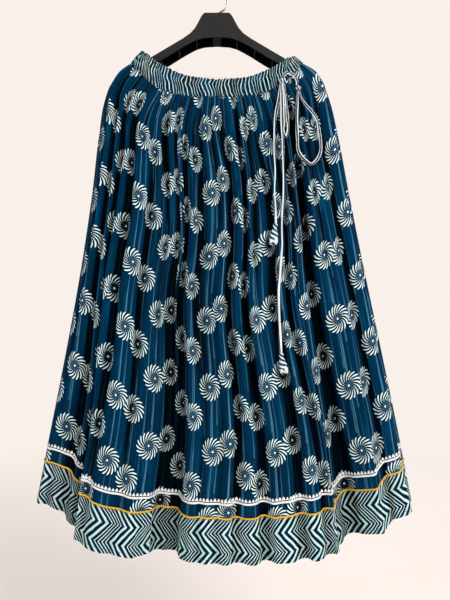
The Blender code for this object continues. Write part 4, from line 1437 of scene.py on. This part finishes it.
def makeTie(name, seed):
    # a flat folded tie on its route, turning slowly about itself
    line = smoothRoute(tie[name], tie["step"])[0]
    slim = np.zeros(len(line))
    for knotPlace in (tie["knot"], tie["pinch"]):
        if name == "tie_bridge":
            continue
        near = np.exp(-(np.linalg.norm(line - np.array(knotPlace), axis=1) / tie["gatherReach"]) ** 2)
        aside = knotPlace[0] - line[:, 0]
        line[:, 0] += tie["gatherPull"] * near * aside * (np.abs(aside) < 0.02)
        slim = np.maximum(slim, near)
    length = np.linalg.norm(np.diff(line, axis=0), axis=1).sum()
    tangent = unit(np.gradient(line, axis=0))
    front = np.array([0.0, -1.0, 0.0])
    across = unit(np.cross(tangent, front))
    facing = unit(np.cross(across, tangent))
    share = np.linspace(0, 1, len(line))
    start, turns = tie["turns"][name]
    random = np.random.default_rng(seed)
    wave = 0.22 * np.sin(2 * math.pi * share * 3.3 + random.uniform(0, 6))
    twist = (start + turns * share + wave) * math.pi / 2
    angles = fullTurn(tie["sides"])
    rings = []
    for k in range(len(line)):
        flat = math.cos(twist[k]) * across[k] + math.sin(twist[k]) * facing[k]
        thick = -math.sin(twist[k]) * across[k] + math.cos(twist[k]) * facing[k]
        pinch = (1 - 0.10 * math.sin(40 * share[k] + seed)) * (1 - tie["gatherSlim"] * slim[k])
        ring = [
            line[k]
            + tie["width"] / 2 * pinch * math.copysign(abs(math.cos(a)) ** 0.8, math.cos(a)) * flat
            + tie["thickness"] / 2 * math.copysign(abs(math.sin(a)) ** 0.8, math.sin(a)) * thick
            for a in angles
        ]
        rings.append(ring)
    made = faceOut(np.array(rings), 1)
    return loopedSkin(name + "_cloth", made, tieCloth, share * length), line, length


def makeKnot(name, centre, size, seed):
    # the tie wound on itself: a plump roll of uneven wraps
    length, radius = size
    sides, rows = 28, 26
    angles = fullTurn(sides)
    rings = []
    for t in np.linspace(0, 1, rows):
        x = (t - 0.5) * length
        swell = math.sin(math.pi * min(max(0.06 + 0.88 * t, 0), 1)) ** 0.45
        ring = []
        for a in angles:
            wrap = 1 + 0.11 * math.cos(2 * math.pi * (2.6 * t) + 1.4 * math.sin(a + seed))
            wrap += 0.03 * math.sin(5 * a + 9 * t)
            r = radius * swell * wrap * 0.92
            ring.append(np.array(centre) + [x, r * math.sin(a) * 0.96, -r * math.cos(a)])
        rings.append(ring)
    spans = np.linspace(0, length * 1.6, rows)
    return loopedSkin(name + "_cloth", np.array(rings)[:, ::-1], tasselCloth, spans)


def makeTassel(name, ends):
    # a stuffed bud with soft lobes under a tied neck, and white petals at its mouth
    start, end = (np.array(e) for e in ends)
    axis = unit(end - start)
    side = unit(np.cross(axis, [0, 1, 0]))
    front = np.cross(axis, side)
    sides = 32
    angles = fullTurn(sides)
    shares = np.linspace(0, 1, 40)
    radii = smoothTable(tie["tasselShares"], tie["tasselRadii"], shares)
    rings = []
    for share, radius in zip(shares, radii):
        lobes = 1 + 0.055 * np.cos(5 * angles + 3.0 * share) * min(max((share - 0.2) * 3, 0), 1)
        ring = [
            start + share * (end - start)
            + radius * lobe * (math.cos(a) * side + tie["tasselFlat"] * math.sin(a) * front)
            for a, lobe in zip(angles, lobes)
        ]
        rings.append(ring)
    length = float(np.linalg.norm(end - start))
    made = faceOut(np.array(rings), 20)
    bud = loopedSkin(name + "_bud", made, tasselCloth, shares * length)
    petals = []
    for n, (offset, low, reach, half, lean) in enumerate(tie["petals"]):
        rows = 12
        petal = []
        for t in np.linspace(0, 1, rows):
            width = half * math.sin(math.pi * (0.08 + 0.90 * t) ** 0.8) ** 0.8
            middle = start + low * (end - start) + axis * reach * t + side * (offset + lean * t)
            outward = -abs(tie["tasselFlat"] * 0.0078) * (1 - 0.45 * t)
            middle = middle + np.array([0, outward - 0.0006, 0])
            plump = 0.0011 * math.sin(math.pi * (0.1 + 0.85 * t))
            petal.append([
                middle + width * math.cos(a) * side + np.array([0, math.sin(a) * plump, 0])
                for a in angles[::2]
            ])
        shape = faceOut(np.array(petal), 5)
        spans = np.linspace(0, reach, rows)
        petals.append(loopedSkin(name + "_petal_" + str(n + 1), shape, petalCloth, spans))
    return bud, petals


cords = {}
for seed, name in enumerate(("tie_bridge", "tail_short", "tail_long", "loop_left", "loop_right")):
    strand, line, length = makeTie(name, seed + 2)
    settle(strand, name)
    cords[name] = (strand, line, length)
knot = makeKnot("tie_knot", tie["knot"], tie["knotSize"], 1)
pinch = makeKnot("tie_pinch", tie["pinch"], tie["pinchSize"], 4)
settle(knot, "tie_knot")
settle(pinch, "tie_pinch")
hanging = {}
for name, ends in tie["tassels"].items():
    bud, petals = makeTassel(name, ends)
    settle(bud, name)
    for petal in petals:
        settle(petal)
    hanging[name] = [bud, *petals]
for name, farEnd, goingAlong in (
    ("tie_bridge", "object", [knot, pinch]),
    ("tail_short", "fitting", hanging["tassel_short"]),
    ("tail_long", "fitting", hanging["tassel_long"]),
    ("loop_left", "object", []),
    ("loop_right", "object", []),
):
    strand, line, length = cords[name]
print("drawstring made:", {name: round(float(cords[name][2]), 3) for name in cords})

# Hanger

hook = {
    "wire": 0.0038,
    "crookRadius": 0.0200,
    "crookTurn": 205,
    "crookPoints": 15,
    "sides": 20,
    "step": 0.0022,
    "tipShares": (0.35, 0.65, 0.87, 0.97),  # how far along its rounding each ring of the tip stands
    "tipStep": 0.0005,
    "stem": [
        (0.0000, -0.0880), (0.0000, -0.0715), (0.0030, -0.0668), (0.0090, -0.0632), (0.0155, -0.0590),
        (0.0198, -0.0520), (0.0206, -0.0440), (0.0203, -0.0310),
    ],
}

plastic = plasticFinish("charcoal_plastic")
chrome = chromeFinish("chrome_wire")
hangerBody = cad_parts["hanger_body"]
hangerBody.data.materials.clear()
hangerBody.data.materials.append(plastic)


def makeHook():
    # one bent wire with a rounded tip
    centreZ = -(hook["crookRadius"] - hook["wire"] / 2)
    points = [(x, 0.0, z) for x, z in hook["stem"]]
    for angle in np.radians(np.linspace(0, hook["crookTurn"], hook["crookPoints"])):
        points.append((
            hook["crookRadius"] * math.cos(angle), 0.0, centreZ + hook["crookRadius"] * math.sin(angle)
        ))
    line = smoothRoute(points, hook["step"])[0]
    tangent = unit(np.gradient(line, axis=0))
    across = np.array([0.0, 1.0, 0.0])
    angles = fullTurn(hook["sides"])
    radius = hook["wire"] / 2
    rings, spans = [], []
    for k, point in enumerate(line):
        other = np.cross(across, tangent[k])
        rings.append([point + radius * (math.cos(a) * across + math.sin(a) * other) for a in angles])
        spans.append(k * hook["step"])
    other = np.cross(across, tangent[-1])
    for t in hook["tipShares"]:
        tip = line[-1] + tangent[-1] * radius * t
        size = radius * math.sqrt(1 - t**2)
        rings.append([tip + size * (math.cos(a) * across + math.sin(a) * other) for a in angles])
        spans.append(spans[-1] + hook["tipStep"])
    made = faceOut(np.array(rings), 5)
    return loopedSkin("hook_wire", made, chrome, np.array(spans))


settle(makeHook(), "hanger_hook")
print("hanger made")

# Cloth pieces, only looked up

for place in panels:
    pieces["body_" + place]
    pieces["lace_" + place]
    pieces["side_seam_left" if place == "front" else "side_seam_right"]
    pieces["border_" + place]
    pieces["body_" + place].name
    pieces["piping_" + place]
    pieces["stitching_" + place]

# Room

room = {
    "floorHeight": -1.62,
    "floorRadius": 3.2,
    "floorSides": 64,
    "paint": fromPaint(250, 240, 234),
    "glow": 0.45,
    # of each light: its place, where it aims, its size, its power and its colour
    "lights": {
        "key": ((1.5, -2.3, 0.9), (0.0, 0.0, -0.6), 1.3, 80, (1.0, 0.98, 0.95)),
        "fill": ((-1.9, -1.9, 0.3), (0.0, 0.0, -0.6), 2.0, 14, (0.94, 0.97, 1.0)),
        "back": ((0.6, 2.6, 1.2), (0.0, 0.0, -0.5), 1.8, 60, (1.0, 0.98, 0.95)),
    },
}


def makeFloor():
    # a pale round floor that fades into the pale room
    finish = Finish("pale_floor")
    parts = finish.add("SeparateXYZ", {}, {0: finish.body()})
    y = Value(finish, parts.socket.node.outputs[1])
    radius = (parts * parts + y * y).math("SQRT")
    grain = finish.noise(finish.body(), 3.0, 3.0)
    finish.set(
        Base_Color=finish.mix(grain, room["paint"], fromPaint(246, 236, 229)),
        Roughness=0.86 + 0.05 * grain,
        Specular_IOR_Level=0.1,
    )
    clear = finish.nodes.new("ShaderNodeBsdfTransparent")
    blend = finish.nodes.new("ShaderNodeMixShader")
    finish.feed(blend.inputs[0], radius.rise(0.7, room["floorRadius"] * 0.95))
    finish.links.new(finish.shader.outputs[0], blend.inputs[1])
    finish.links.new(clear.outputs[0], blend.inputs[2])
    finish.links.new(blend.outputs[0], finish.nodes["Material Output"].inputs[0])
    sides = room["floorSides"]
    angles = fullTurn(sides)
    z = room["floorHeight"]
    reach = room["floorRadius"]
    points = [(0, 0, z)] + [(reach * math.cos(a), reach * math.sin(a), z) for a in angles]
    faces = [(0, k + 1, (k + 1) % sides + 1) for k in range(sides)]
    mesh = bpy.data.meshes.new("floor")
    mesh.from_pydata(points, [], faces)
    mesh.materials.append(finish.material)
    floor = addObject("floor", mesh)


def makeLight(name, place, aim, size, power, colour):
    data = bpy.data.lights.new(name, "AREA")
    data.shape = "SQUARE"
    data.size = size
    data.energy = power
    data.color = colour
    lamp = addObject(name, data)
    lamp.location = place
    direction = np.array(aim, float) - np.array(place, float)
    flatLength = math.hypot(direction[0], direction[1])
    lamp.rotation_euler = (
        math.atan2(flatLength, -direction[2]), 0, math.atan2(direction[1], direction[0]) - math.pi / 2
    )


makeFloor()
world = bpy.data.worlds.new("pale_room")
world.use_nodes = True
# the camera sees the pale wall at full strength, and the cloth is lit by less of it
backdrop = world.node_tree.nodes["Background"]
backdrop.inputs[0].default_value = room["paint"]
backdrop.inputs[1].default_value = 1.0
soft = world.node_tree.nodes.new("ShaderNodeBackground")
soft.inputs[0].default_value = fromPaint(246, 246, 248)
soft.inputs[1].default_value = room["glow"]
seen = world.node_tree.nodes.new("ShaderNodeLightPath")
choice = world.node_tree.nodes.new("ShaderNodeMixShader")
world.node_tree.links.new(seen.outputs["Is Camera Ray"], choice.inputs[0])
world.node_tree.links.new(soft.outputs[0], choice.inputs[1])
world.node_tree.links.new(backdrop.outputs[0], choice.inputs[2])
world.node_tree.links.new(choice.outputs[0], world.node_tree.nodes["World Output"].inputs[0])
bpy.context.scene.world = world
for name, settings in room["lights"].items():
    makeLight(name, *settings)
bpy.context.scene.view_settings.view_transform = "Standard"
print("room and lights made")
